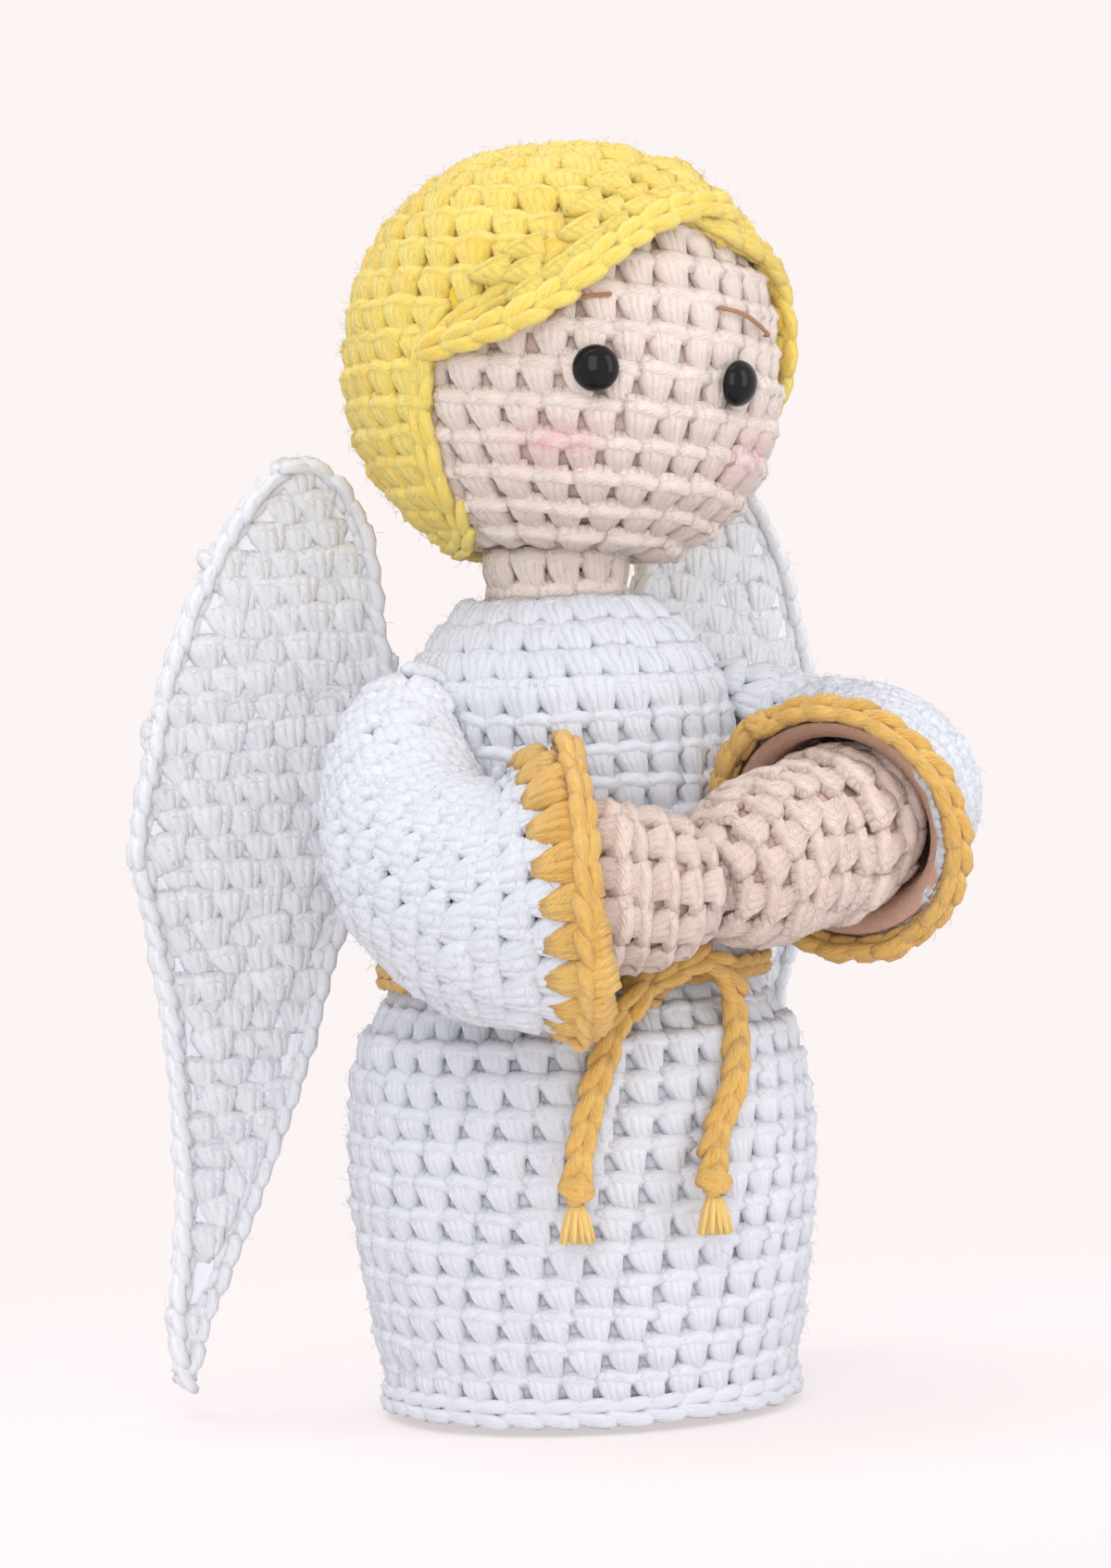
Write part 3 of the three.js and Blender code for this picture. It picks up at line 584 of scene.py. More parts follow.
def knotLine(centre, size, turn):  # one cord passed through itself
    points = []
    for k in range(72):
        t = 2 * math.pi * k / 72
        ring = 2 + math.cos(3 * t)
        points.append((ring * math.cos(2 * t), 0.8 * math.sin(3 * t), ring * math.sin(2 * t)))
    c, s = math.cos(turn), math.sin(turn)
    return np.array([(x * c - z * s, y, x * s + z * c) for x, y, z in points]) * size + np.array(centre)


def tightKnot(name, centre, size, turn):  # three turns of yarn drawn round each other
    centre = np.array(centre)
    strands = [[(*(centre + (0, 0, h * size)), 1.2 * size) for h in (-0.8, 0, 0.8)]]
    for tilt, swing in ((0.5, 0.2), (-0.6, 1.4), (1.3, 2.6)):
        flat = math.sin(tilt) * np.array((math.cos(swing + turn), math.sin(swing + turn), 0))
        axis = flat + (0, 0, math.cos(tilt))
        side = unit(np.cross(axis, (0.2, 1, 0.1)))
        over = np.cross(axis, side)
        strands.append([(*ringSpot(centre, 1.35 * size, side, over, a), 0.85 * size)
                        for a in np.linspace(0, 2.06 * math.pi, 13)])
    return bareObject(name, strandMesh(name, strands, 9, 28), gold)


def boxMiddle(node):
    low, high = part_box(node)
    return (np.array(low) + np.array(high)) / 2 / mm


def cutEnds(name, side, seed):  # a small brush of yarn ends under the knot
    low, high = (np.array(corner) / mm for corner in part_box("tail_tassel_" + side))
    foot = np.array(((low[0] + high[0]) / 2, (low[1] + high[1]) / 2, low[2]))
    knotAt = boxMiddle("tail_knot_" + side)
    top = np.array((*(0.6 * foot[:2] + 0.4 * knotAt[:2]), high[2] + 1.2))
    random = np.random.default_rng(seed)
    strands = []
    for k in range(belt["ends"]):
        turn = 2.4 * k
        spread = math.sqrt((k + 0.5) / belt["ends"])
        apart = np.array((math.cos(turn), math.sin(turn), 0)) * spread
        length = random.uniform(0.86, 1.0)
        end = foot + apart * 2.4 + (0, 0, (1 - length) * 5)
        middle = (top + end) / 2 + apart * 0.5
        strands.append([(*(top + apart * 0.7), 0.4), (*middle, 0.42), (*end, 0.3)])
    return bareObject(name, strandMesh(name, strands, 5, 4), cutGold)


for side, route in belt["tails"].items():
    knotAt = boxMiddle("tail_knot_" + side)
    path = evenly([spline(route + (tuple(knotAt),), k / 120) for k in range(121)], 1.0)
    links = chainOn(path, lambda p: (p[0] * 0.6, p[1], 0), belt["tailLink"])[:-1]
    tail = stitched("tail_chain_" + side, links, chainLink, gold, 0.1, 0.05, 0.35, 21)
    endKnot = tightKnot("tail_tie_" + side, knotAt, 1.1, 0.5)
    brush = cutEnds("tail_ends_" + side, side, 25)
    for piece, node in ((tail, "belt_tail_"), (endKnot, "tail_knot_"), (brush, "tail_tassel_")):
        finished([piece], "torso", node + side)
beltRing = turned([(belt["radius"], belt["height"])], 80)[0]
beltPiece = chained("belt_chain", beltRing, lambda p: (p[0], p[1], 0), belt["link"], True, gold, 0.05, 0.03, 0.2, 27)
finished([beltPiece], "torso", "belt")
tieAt, tieSize = np.array(belt["knot"]), belt["knotSize"]
tieLine = knotLine(tieAt, tieSize, belt["knotTurn"])
beltKnot = chained("belt_tie", tieLine, lambda p: p - tieAt + (0, -0.8, 0), [tieSize * belt["knotLink"]] * 3, True,
                   gold, 0.1, 0.05, 0.4, 29)
finished([beltKnot], "torso", "belt_knot")
print("belt made")

# Dress: a tube of rounds from hem to collar, with a chain round the hem where the base is worked on
dress = {
    "levels": ((27.2, 3.35), (30.4, 27), (29.5, 46), (24, 57.5), (24, 75), (22, 92), (17.1, 101), (13.2, 105)),
    "round": 4.3,
    "first": -0.4,  # run of the first round above the hem
    "over": 0.9,  # of the last round above the collar
    "wide": 5.2,
    "counts": ((50, 36), (56, 32), (88, 30)),  # stitches to a round, below each height
    "closeAbove": 88,  # closer stitches from here to the collar
    "sink": 1.6,  # from the outside of the fabric to the foot of a stitch
    "hem": (26.1, 2.75),  # radius and height
    "hemLink": (0.86, 1.15, 0.85),
    "base": 26.2,
    "fill": 2.6,  # from the outside of the fabric to the filling
    "socket": ((10.6, 100.7), (9.4, 98.6)),  # in the filling, for the neck
}


def sunk(pairs, depth):  # the outline moved inward, square to itself
    pairs = np.asarray(pairs, float)
    ways = np.gradient(pairs, axis=0)
    ways /= np.linalg.norm(ways, axis=1)[:, None]
    return pairs - depth * np.column_stack([ways[:, 1], -ways[:, 0]])


dressLine = np.array([spline(dress["levels"], k / 240) for k in range(241)])


def dressRadius(height):
    return float(np.interp(height, dressLine[:, 1], dressLine[:, 0]))


footLine = sunk(dressLine, dress["sink"])
footRun = runOf(footLine)
dressRise = footRun[-1] + dress["over"] - dress["first"]
dressRounds = round(dressRise / dress["round"])


def dressAt(turn, level):
    run = dress["first"] + level * dressRise / dressRounds
    radius, height = (np.interp(run, footRun, footLine[:, k]) for k in (0, 1))
    height += max(0, run - footRun[-1]) + min(0, run)  # straight on past both ends
    return polar(radius, 2 * math.pi * turn, height)


def dressCount(level):
    height = dressAt(0, level)[2]
    for below, count in dress["counts"]:
        if height < below:
            return count
    return round(2 * math.pi * dressRadius(height) / dress["wide"])


filling = {
    "body": ((238, 241, 243), (206, 211, 215)),
    # behind the dress: the white fibre painted grey, as shade in the holes between the stitches
    "bed": ((226, 230, 233), (196, 201, 205)),
    # for the face, neck and arms: fibre tinted like the skin yarn and darkened as painted shade in the gaps
    "head": ((234, 212, 202), (204, 182, 172)),
    # under the hair: near the yellow yarn's colour, a little deeper as painted shade in the gaps
    "hairBedShaded": ((255, 226, 108), (248, 206, 80)),
    # inside the sleeves: the arm's skin colour, darkened as painted shade in the hollow of the bell
    "arm": ((222, 186, 166), (196, 156, 136)),
    # behind the hands: skin-tinted fibre darkened as painted shade in the gaps
    "shadedHandBed": ((236, 208, 194), (206, 172, 158)),
}
white = yarnMaterial("white_yarn")
bodyFibre = fillingMaterial("body_fibre", *filling["body"])
shadedBedFibre = fillingMaterial("bed_fibre_shaded", *filling["bed"])
dressSpots = rounds(dressAt, range(dressRounds), dress["wide"], 0.22, dressCount)
split = [[], []]
for spot in dressSpots:
    split[int(spot[0][2] > dress["closeAbove"])].append(spot)
skirt = stitched("dress_rounds", split[0], singleStitch, white, seed=3)
yoke = stitched("yoke_rounds", split[1], denseStitch, white, seed=4)
hemLine = turned([dress["hem"]], 60)[0]
hem = chained("hem_band", hemLine, lambda p: (p[0], p[1], 2), dress["hemLink"], True, white, 0.06, 0.04, 0.4, 5, 0)
coarseLine = dressLine[::6]
# its grey is painted shade for the holes between the stitches
bed = bedShell("dress_bed", lambda deep: turned(sunk(coarseLine, dress["sink"] + deep)[:40]), shadedBedFibre)
finished([skirt, yoke, hem, bed], "torso", "dress_body")


def baseAt(turn, level):  # rings that widen from the middle of the base, worked facing down
    return polar(max(0.4, dress["base"] - dress["round"] * level), -2 * math.pi * turn, dress["hem"][1])


baseSpots = rounds(baseAt, range(1, 6), dress["wide"])
basePiece = stitched("base_rounds", baseSpots, denseStitch, white, 0.04, 0.03, 0.2, 6, 0)
finished([basePiece], "torso", "base_panel")
fillLine = [*sunk(coarseLine, dress["fill"])[:37], *dress["socket"]]
finished([skinned("body_fibre", turned(fillLine), bodyFibre)], "torso", "body_stuffing")
print("dress made", len(dressSpots), "stitches")

# Head: a full ball that leans to the doll's left on the neck
head = {
    "neckTop": 109.8,
    "lean": 6.5,
    "radius": 27.6,
    "above": 26.4,
    "below": 28,
    "fullness": 2.2,
    "turn": 4,  # of the face, towards the doll's left
    "round": 4.7,
    "wide": 4.85,
    "sink": 1.95,
    "neck": 9.8,  # radius
    "underHair": 11,  # degrees that the face's stitches run on
    "jaw": (1.4, 72, 45, -32, 36),  # fullness, degrees round and their reach, degrees up and theirs
    "fill": 2.7,
}
neckShare = (1 - (head["neck"] / head["radius"]) ** head["fullness"]) ** (1 / head["fullness"])
headCentre = 0.35 + head["below"] * neckShare
headPlace = Matrix.Translation((0, 0, head["neckTop"])) @ Matrix.Rotation(math.radians(head["lean"]), 4, "Y")
headTurn = np.array(headPlace.to_3x3())


def headReach(up, growth):
    tall = (head["below"] if up < 0 else head["above"]) + growth
    level = abs(math.cos(math.radians(up)) / (head["radius"] + growth)) ** head["fullness"]
    rise = abs(math.sin(math.radians(up)) / tall) ** head["fullness"]
    return (level + rise) ** (-1 / head["fullness"])


def headPoint(around, up, growth):  # degrees round from the face and up
    reach = headReach(up, growth)
    turn = math.radians(around + head["turn"])
    flat = reach * math.cos(math.radians(up))
    local = polar(flat, turn, headCentre + reach * math.sin(math.radians(up)))
    return headTurn @ local + np.array((0, 0, head["neckTop"]))


ballCentre = headTurn @ np.array((0, 0, headCentre)) + np.array((0, 0, head["neckTop"]))


def ballOut(point):
    return point - ballCentre


def headLevels(growth, lowest):  # (up, run) along the side of the ball
    ups = np.linspace(lowest, 90, 200)
    pairs = [(headReach(u, growth) * math.cos(math.radians(u)), headReach(u, growth) * math.sin(math.radians(u)))
             for u in ups]
    return np.column_stack([ups, runOf(pairs)])


hairline = (
    (-180, -62), (-166, -62), (-152, -63), (-138, -63), (-124, -64), (-112, -64), (-100, -63.5), (-88, -62),
    (-76, -57), (-73, -44), (-71.5, -30), (-70, -15), (-68, -4), (-54, 5), (-40, 14), (-28, 23), (-16, 31),
    (-4, 38), (4, 37.5), (16, 34.5), (28, 31.5), (41, 29), (56, 23), (64, 12), (71, 0), (79, -7), (88, -13),
    (95, -22), (100, -33), (104, -44), (107, -51), (112, -55), (118, -56.5), (126, -57), (138, -57.5),
    (152, -58.5), (166, -60), (180, -62),
)


def wrapped(around):
    return (around + 180) % 360 - 180


def hairLow(around):
    return float(np.interp(wrapped(around), *zip(*hairline)))


faceLevels = headLevels(-head["sink"], -69)


def upAt(levels, run):
    return float(np.interp(run, levels[:, 1], levels[:, 0]))


def cheekGrowth(around, up):  # a fuller jaw on the doll's left
    full, jawAround, wide, jawUp, tall = head["jaw"]
    across = max(0, 1 - ((wrapped(around) - jawAround) / wide) ** 2)
    return full * across * max(0, 1 - ((up - jawUp) / tall) ** 2)


def faceAt(turn, level):
    up = upAt(faceLevels, level * head["round"])
    return headPoint(360 * turn, up, cheekGrowth(360 * turn, up) - head["sink"])


def faceShown(turn, level):  # the hair hides the rest
    up = upAt(faceLevels, (level + 0.5) * head["round"])
    return up < max(hairLow(360 * turn + side) for side in (-7, 0, 7)) + head["underHair"]


# the skin yarn painted lighter for the face and neck, against their shade
skin = yarnMaterial("skin_yarn", [Vector(headPoint(a, u, 0)) for a, u in blush["centres"]])
faceSpots = rounds(faceAt, [k + 0.3 for k in range(13)], head["wide"], 0.22, None, faceShown)
facePiece = stitched("face_rounds", faceSpots, singleStitch, skin, seed=13)
# fibre darkened as painted shade for the gaps between the skin stitches
shadedHeadFibre = fillingMaterial("head_fibre", *filling["head"])


def faceRings(deep):
    return [np.array([headPoint(7.5 * k, up, cheekGrowth(7.5 * k, up) - head["sink"] - deep) for k in range(48)])
            for up in np.linspace(-69, 60, 20)]


finished([facePiece, bedShell("face_bed", faceRings, shadedHeadFibre)], "head", "head_cover")
fillRings = [np.array([headPoint(360 * k / 48, up, -head["fill"]) for k in range(48)])
             for up in np.linspace(-74, 88, 24)]
finished([skinned("head_fibre", fillRings, shadedHeadFibre)], "head", "head_stuffing")
print("face made", len(faceSpots), "stitches")

# Neck: two short rounds between the collar and the head
neck = {
    "foot": 102.5,
    "rounds": 2,
    "round": 4.6,
    "wide": 5.2,
    "count": 12,
    "sink": 1.95,
    "ease": 0.7,  # clear of the collar when it nods
    "bed": (101.5, 104, 107, 109.2),
    "fill": ((3, 101.6), (5.6, 102.4), (7.1, 104.5), (7.1, 107), (7, 109.2)),
}


def neckAt(turn, level):
    radius = head["neck"] - neck["sink"] - neck["ease"] * max(0, 1 - level)
    return polar(radius, 2 * math.pi * turn, neck["foot"] + level * neck["round"])


neckSpots = rounds(neckAt, range(neck["rounds"]), neck["wide"], 0.2, lambda level: neck["count"])
neckPiece = stitched("neck_rounds", neckSpots, halfStitch, skin, 0.06, 0.04, 0.4, 31)
bed = bedShell("neck_bed", lambda deep: turned([(head["neck"] - neck["sink"] - deep, z) for z in neck["bed"]], 32),
               shadedHeadFibre, (0.1, 0.6))
finished([neckPiece, bed], "neck", "neck")
finished([skinned("neck_fibre", turned(neck["fill"], 32), shadedHeadFibre)], "neck", "neck_stuffing")

# Hair: a cap of rounds down to the hairline, bordered by a chain, and a swept fringe of three rows over it
hair = {
    "round": 4.0,
    "wide": 5.0,
    "growth": 0.3,
    "bed": (0.3, -0.35),  # the two faces of the layer under the stitches
    "edge": (0.72, 1.15, 0.84),
    "taper": (1.3, -15, 45),  # how much closer towards the nape, from where down, and over how far
}
yellow = yarnMaterial("yellow_yarn")
capLevels = headLevels(hair["growth"], -66)


def hairGrowth(up):  # the cap lies closer towards the nape
    closer, top, span = hair["taper"]
    return hair["growth"] - closer * min(max((top - up) / span, 0), 1)


def capAt(turn, level):
    up = upAt(capLevels, level * hair["round"])
    return headPoint(360 * turn, up, hairGrowth(up))


def capShown(turn, level):
    return upAt(capLevels, (level + 0.35) * hair["round"]) > hairLow(360 * turn) + 2.2


capRounds = int(capLevels[-1, 1] / hair["round"])
capSpots = rounds(capAt, [k + 0.4 for k in range(capRounds)], hair["wide"], 0.3, None, capShown)
capFabric = stitched("hair_rounds", capSpots, halfStitch, yellow, 0.09, 0.06, 0.5, 37)
borderLine = [headPoint(a, hairLow(a) + 1.5, hairGrowth(hairLow(a)) + 0.7) for a in np.linspace(-180, 178, 180)]
border = chained("hair_border", borderLine, ballOut, hair["edge"], True, yellow, 0.08, 0.05, 0.4, 41)


def hairBedShaded():  # a thin layer under the stitches, so that the face never shows through, a little deeper in colour than the yarn as painted shade in the gaps
    rows, grid, count = [], 22, 72
    for growth in hair["bed"]:
        layer = []
        for k in range(count):
            around = 360 * k / count - 180
            low = hairLow(around) + 4
            ups = [low + (89.5 - low) * (j / grid) ** 0.9 for j in range(grid + 1)]
            layer.append([headPoint(around, up, growth + hairGrowth(up) - hair["growth"]) for up in ups])
        rows.append(layer)
    places = [p for layer in rows for line in layer for p in line]
    faces, step, shell = [], grid + 1, count * (grid + 1)
    for k in range(count):
        n = (k + 1) % count
        for j in range(grid):
            a, b = k * step + j, n * step + j
            faces.append((a, b, b + 1, a + 1))
            faces.append((shell + a, shell + a + 1, shell + b + 1, shell + b))
        faces.append((k * step, shell + k * step, shell + n * step, n * step))
    faces.append(tuple(k * step + grid for k in range(count)))
    faces.append(tuple(shell + k * step + grid for k in reversed(range(count))))
    return bareObject("hair_bed", newMesh("hair_bed", places, faces, False),
                      fillingMaterial("hair_bed", *filling["hairBedShaded"]))


finished([capFabric, border, hairBedShaded()], "head", "hair_cap")

fringe = {
    "lower": ((-67, -3.5), (-43.5, 3), (-25.7, 16.5), (-12.3, 27.5), (1, 35), (14, 37.6), (30.5, 41.3)),
    "upper": ((-68, 0), (-50, 15.8), (-36, 27), (-22, 40), (-6, 49), (14, 55), (33, 55)),
    "growth": 2.1,
    "edge": (0.92, 1.1, 0.95),
    "rows": (0.3, 0.62, 0.94),
    "wide": 4.9,
    "least": 2.4,  # height of the smallest stitch
    "thick": 0.88,
    "ends": (1.1, 0.1, 1.7, 0.16),  # how much closer the first end lies and over what share, then the last
}


def fringePoint(share, across, growth):
    low, high = spline(fringe["lower"], share), spline(fringe["upper"], share)
    return headPoint(*(low + (high - low) * across), growth)


def stripRows(pointAt, strip):  # rows of stitches that follow a strip
    spots, wide = [], strip["wide"]
    gap = strip["rows"][1] - strip["rows"][0]
    for row in strip["rows"]:
        line = [pointAt(k / 80, row) for k in range(81)]
        run = runOf(line)
        count = round(run[-1] / wide)
        for k in range(count):
            share = float(np.interp((k + 0.5) / count * run[-1], run, np.linspace(0, 1, 81)))
            side = pointAt(min(share + 0.01, 1), row) - pointAt(max(share - 0.01, 0), row)
            rise = pointAt(share, row + gap / 2) - pointAt(share, row - gap / 2)
            tall = np.linalg.norm(rise)
            if tall >= strip["least"]:
                size = (wide / stitchShape["wide"], tall / stitchShape["tall"], strip["thick"])
                spots.append((pointAt(share, row), unit(np.cross(side, rise)), unit(rise), size))
    return spots


def fringeGrowth(share):  # closer to the cap at both ends
    first, start, last, end = fringe["ends"]
    return fringe["growth"] - first * max(0, 1 - share / start) - last * max(0, (share - 1 + end) / end)


fringeSpots = stripRows(lambda s, v: fringePoint(s, v - 0.16, fringeGrowth(s)), fringe)
fringeFabric = stitched("fringe_rows", fringeSpots, halfStitch, yellow, 0.09, 0.06, 0.5, 43)
sweep = [fringePoint(0.965 * k / 90, 0.05, fringeGrowth(k / 90) + 0.6) for k in range(91)]
sweepChain = chained("fringe_border", sweep, ballOut, fringe["edge"], False, yellow, 0.08, 0.05, 0.4, 47)
finished([fringeFabric, sweepChain], "head", "hair_fringe")
print("hair made", len(capSpots), "and", len(fringeSpots), "stitches")

# Eyes: domed safety eyes, and the washers that hold them inside the head
eyes = {"spots": {"right": (-21.8, -6.2), "left": (21.8, -6.2)}, "radius": 3.0, "dome": 2.4, "stem": 1.6}
plastics = {  # grain, dark and pale colour, roughness and how much it varies, gloss
    "eye_black": (900, (0.004, 0.004, 0.005, 1), (0.012, 0.012, 0.014, 1), 0.06, 0.1, 0.2),
    "washer_plastic": (1400, (0.62, 0.64, 0.66, 1), (0.74, 0.76, 0.78, 1), 0.28, 0.25, 0.5),
}


def plasticMaterial(name):
    grain, dark, pale, rough, vary, gloss = plastics[name]
    material, shader, maker = bareMaterial(name)
    dust = maker.noise(maker.place(), grain, 3)
    maker.give(shader, {"Base Color": dust.mixed(dark, pale), "Roughness": dust * vary + rough,
                        "Specular IOR Level": gloss})
    return material


def onFacing(centre, facing, rings):  # turned rings set along a direction
    side = unit(np.cross((0, 0, 1), facing))
    over = np.cross(facing, side)
    angles = np.linspace(0, 2 * math.pi, 33)[:-1]
    return [np.array([ringSpot(centre + facing * h, r, side, over, a) for a in angles]) for r, h in rings]


eyeBlack, washerClear = plasticMaterial("eye_black"), plasticMaterial("washer_plastic")
for side, (around, up) in eyes["spots"].items():
    foot = headPoint(around, up, 0.35)
    facing = unit(ballOut(foot))
    rings = [(eyes["stem"], -1.2), (eyes["stem"], -0.1), (eyes["radius"] - 0.25, -0.05), (eyes["radius"], 0.15)]
    rings += [(eyes["radius"] * math.cos(t), 0.2 + (eyes["dome"] - 0.2) * math.sin(t))
              for t in np.linspace(0.12, 1.5, 10)]
    eye = skinned("eye_dome_" + side, onFacing(foot, facing, rings), eyeBlack)
    finished([eye], "head", "eye_" + side)
    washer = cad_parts["eye_washer_" + side]
    washer.data.materials.clear()
    washer.data.materials.append(washerClear)

# Brows: one long straight stitch of brown thread each, bent over the stitches below
brows = {
    "right": ((-34.5, 6.2), (-27.3, 11.4), (-19, 13.2)),
    "left": ((14.5, 12.8), (25.3, 11.9), (37.3, 8.1)),
    "thick": 0.3,
}
browThread = yarnMaterial("brow_thread")
for side in ("right", "left"):
    line = [(*headPoint(*spline(brows[side], k / 8), 0.45), brows["thick"]) for k in range(9)]
    line = [(*headPoint(*brows[side][0], -0.3), 0.15), *line, (*headPoint(*brows[side][2], -0.3), 0.15)]
    brow = bareObject("brow_stitch_" + side, strandMesh("brow_stitch_" + side, [line], 7, 24), browThread)
    finished([brow], "head", "brow_" + side)
print("face details made")

# Arms: bell sleeves worked down to the cuff, gold edges, and hands that come out of them and are sewn together
arms = {
    "right": {"sign": -1, "route": ((87, -4.5, 93.5, 6.5), (73, 4, 86, 9.5), (56, 12, 75.6, 12.8), (40, 16, 69.6, 16),
                                    (26.5, 16.15, 69.6, 17.8))},
    "left": {"sign": 1, "route": ((87, -4.5, 92, 6.3), (80, 5.5, 86, 9.8), (69, 12.5, 82, 12.5),
                                  (54, 16.5, 78.8, 13.8), (38, 15.2, 75.2, 16.2))},
    "chest": 24,
    "pivot": 93,
    "lift": 40,
    "round": 4.25,
    "wide": 5.2,
    "sink": 1.9,
    "lining": {"sink": 3.6, "thick": 0.4, "shares": (0.04, 0.975, 15), "lip": 2, "sides": 40, "shaded": (15, 25)},
    "teeth": {"start": 3.2, "tall": 3.5, "sink": 0.35, "wide": 5.0},
    "rim": (0.8, 1.05, 0.9),
    "rimOut": 1.5,
    "slant": {"right": 0.2, "left": 0},  # the front of the right cuff comes further over the hand
}
hands = {
    "radius": 11.3,
    "tip": 15,
    "meet": (0, -41, 69.5),
    "press": 3,
    "ease": 5.1,
    "round": 4.2,
    "wide": 4.9,
    "sink": 1.95,
    "inside": 8,  # up the sleeve
    "flat": 1.2,  # half the room between the hands where they are sewn together
    "fill": 3.0,
}


def lifted(point, angle):  # turned with the arm about the shoulder seam
    c, s = math.cos(angle), math.sin(angle)
    y, z = point[1], point[2] - arms["pivot"]
    return np.array((point[0], y * c + z * s, arms["pivot"] - y * s + z * c))


def clearOfDress(point, margin):  # pushed out of the dress, at rest and through the lift
    for share in (0, 0.33, 0.67, 1):
        angle = math.radians(arms["lift"] * share)
        at = lifted(point, angle)
        if at[2] < dress["levels"][-1][1] + margin:
            flat = math.hypot(at[0], at[1])
            reach = dressRadius(at[2]) + margin
            if flat < reach:
                at[:2] *= reach / max(flat, 1e-6)
                point = lifted(at, -angle)
    return point


class Arm:
    def __init__(self, side):
        self.sign = arms[side]["sign"]
        self.slant = arms["slant"][side]
        self.line = []
        for around, out, height, radius in arms[side]["route"]:
            at = polar(arms["chest"] + out, self.sign * math.radians(around), height)
            self.line.append((*at, radius))
        rows = np.array([spline(self.line, k / 100) for k in range(101)])
        self.run = runOf(rows[:, :3])
        self.length = self.run[-1]
        self.cuff = np.array(self.line[-1][:3])
        self.along = self.wayAt(1)
        meet = np.array(hands["meet"], float)
        self.reachOut = unit(meet - self.cuff)
        self.tip = meet + self.reachOut * (hands["press"] - hands["tip"])
        bends = np.linspace(0, 1.5, 40)
        arc = np.column_stack([hands["tip"] * np.sin(bends), hands["radius"] * np.cos(bends)])
        self.bends = np.column_stack([runOf(arc), bends])
        self.straight = float(np.dot(self.tip - self.cuff, self.reachOut))
        self.reach = self.straight + self.bends[-1, 0]

    def wayAt(self, share):
        return unit(spline(self.line, min(share + 0.01, 1))[:3] - spline(self.line, max(share - 0.01, 0))[:3])

    def ringPoint(self, centre, way, radius, turn):
        across = unit(np.cross(way, (0, 0, 1)))
        return ringSpot(centre, radius, across, np.cross(across, way), 2 * math.pi * turn)

    def at(self, run):
        share = float(np.interp(run, self.run, np.linspace(0, 1, 101)))
        return share, spline(self.line, share)

    def sleevePoint(self, turn, run, sink):
        share, row = self.at(run)
        centre = row[:3] + self.along * max(0, run - self.length) + self.wayAt(0) * min(0, run)
        point = self.ringPoint(centre, self.wayAt(share), row[3] - sink, turn)
        slant = self.slant * max(0, run / self.length) ** 3
        return point + self.along * slant * np.dot(point - centre, unit(np.cross(self.along, (0, 0, 1))))

    def handPoint(self, turn, run, sink):  # run is 0 at the cuff, and less inside the sleeve
        radius = hands["radius"] - sink
        if run < 0:
            share, row = self.at(self.length + run)
            inside = min(hands["radius"], row[3] - hands["ease"]) - sink
            return self.ringPoint(row[:3], unit(self.wayAt(share) + self.reachOut * (1 + run / 12)), inside, turn)
        if run < self.straight:
            return self.ringPoint(self.cuff + self.reachOut * run, self.reachOut, radius, turn)
        bend = float(np.interp(run - self.straight, self.bends[:, 0], self.bends[:, 1]))
        centre = self.tip + self.reachOut * (hands["tip"] - sink) * math.sin(bend)
        return self.ringPoint(centre, self.reachOut, radius * math.cos(bend), turn)


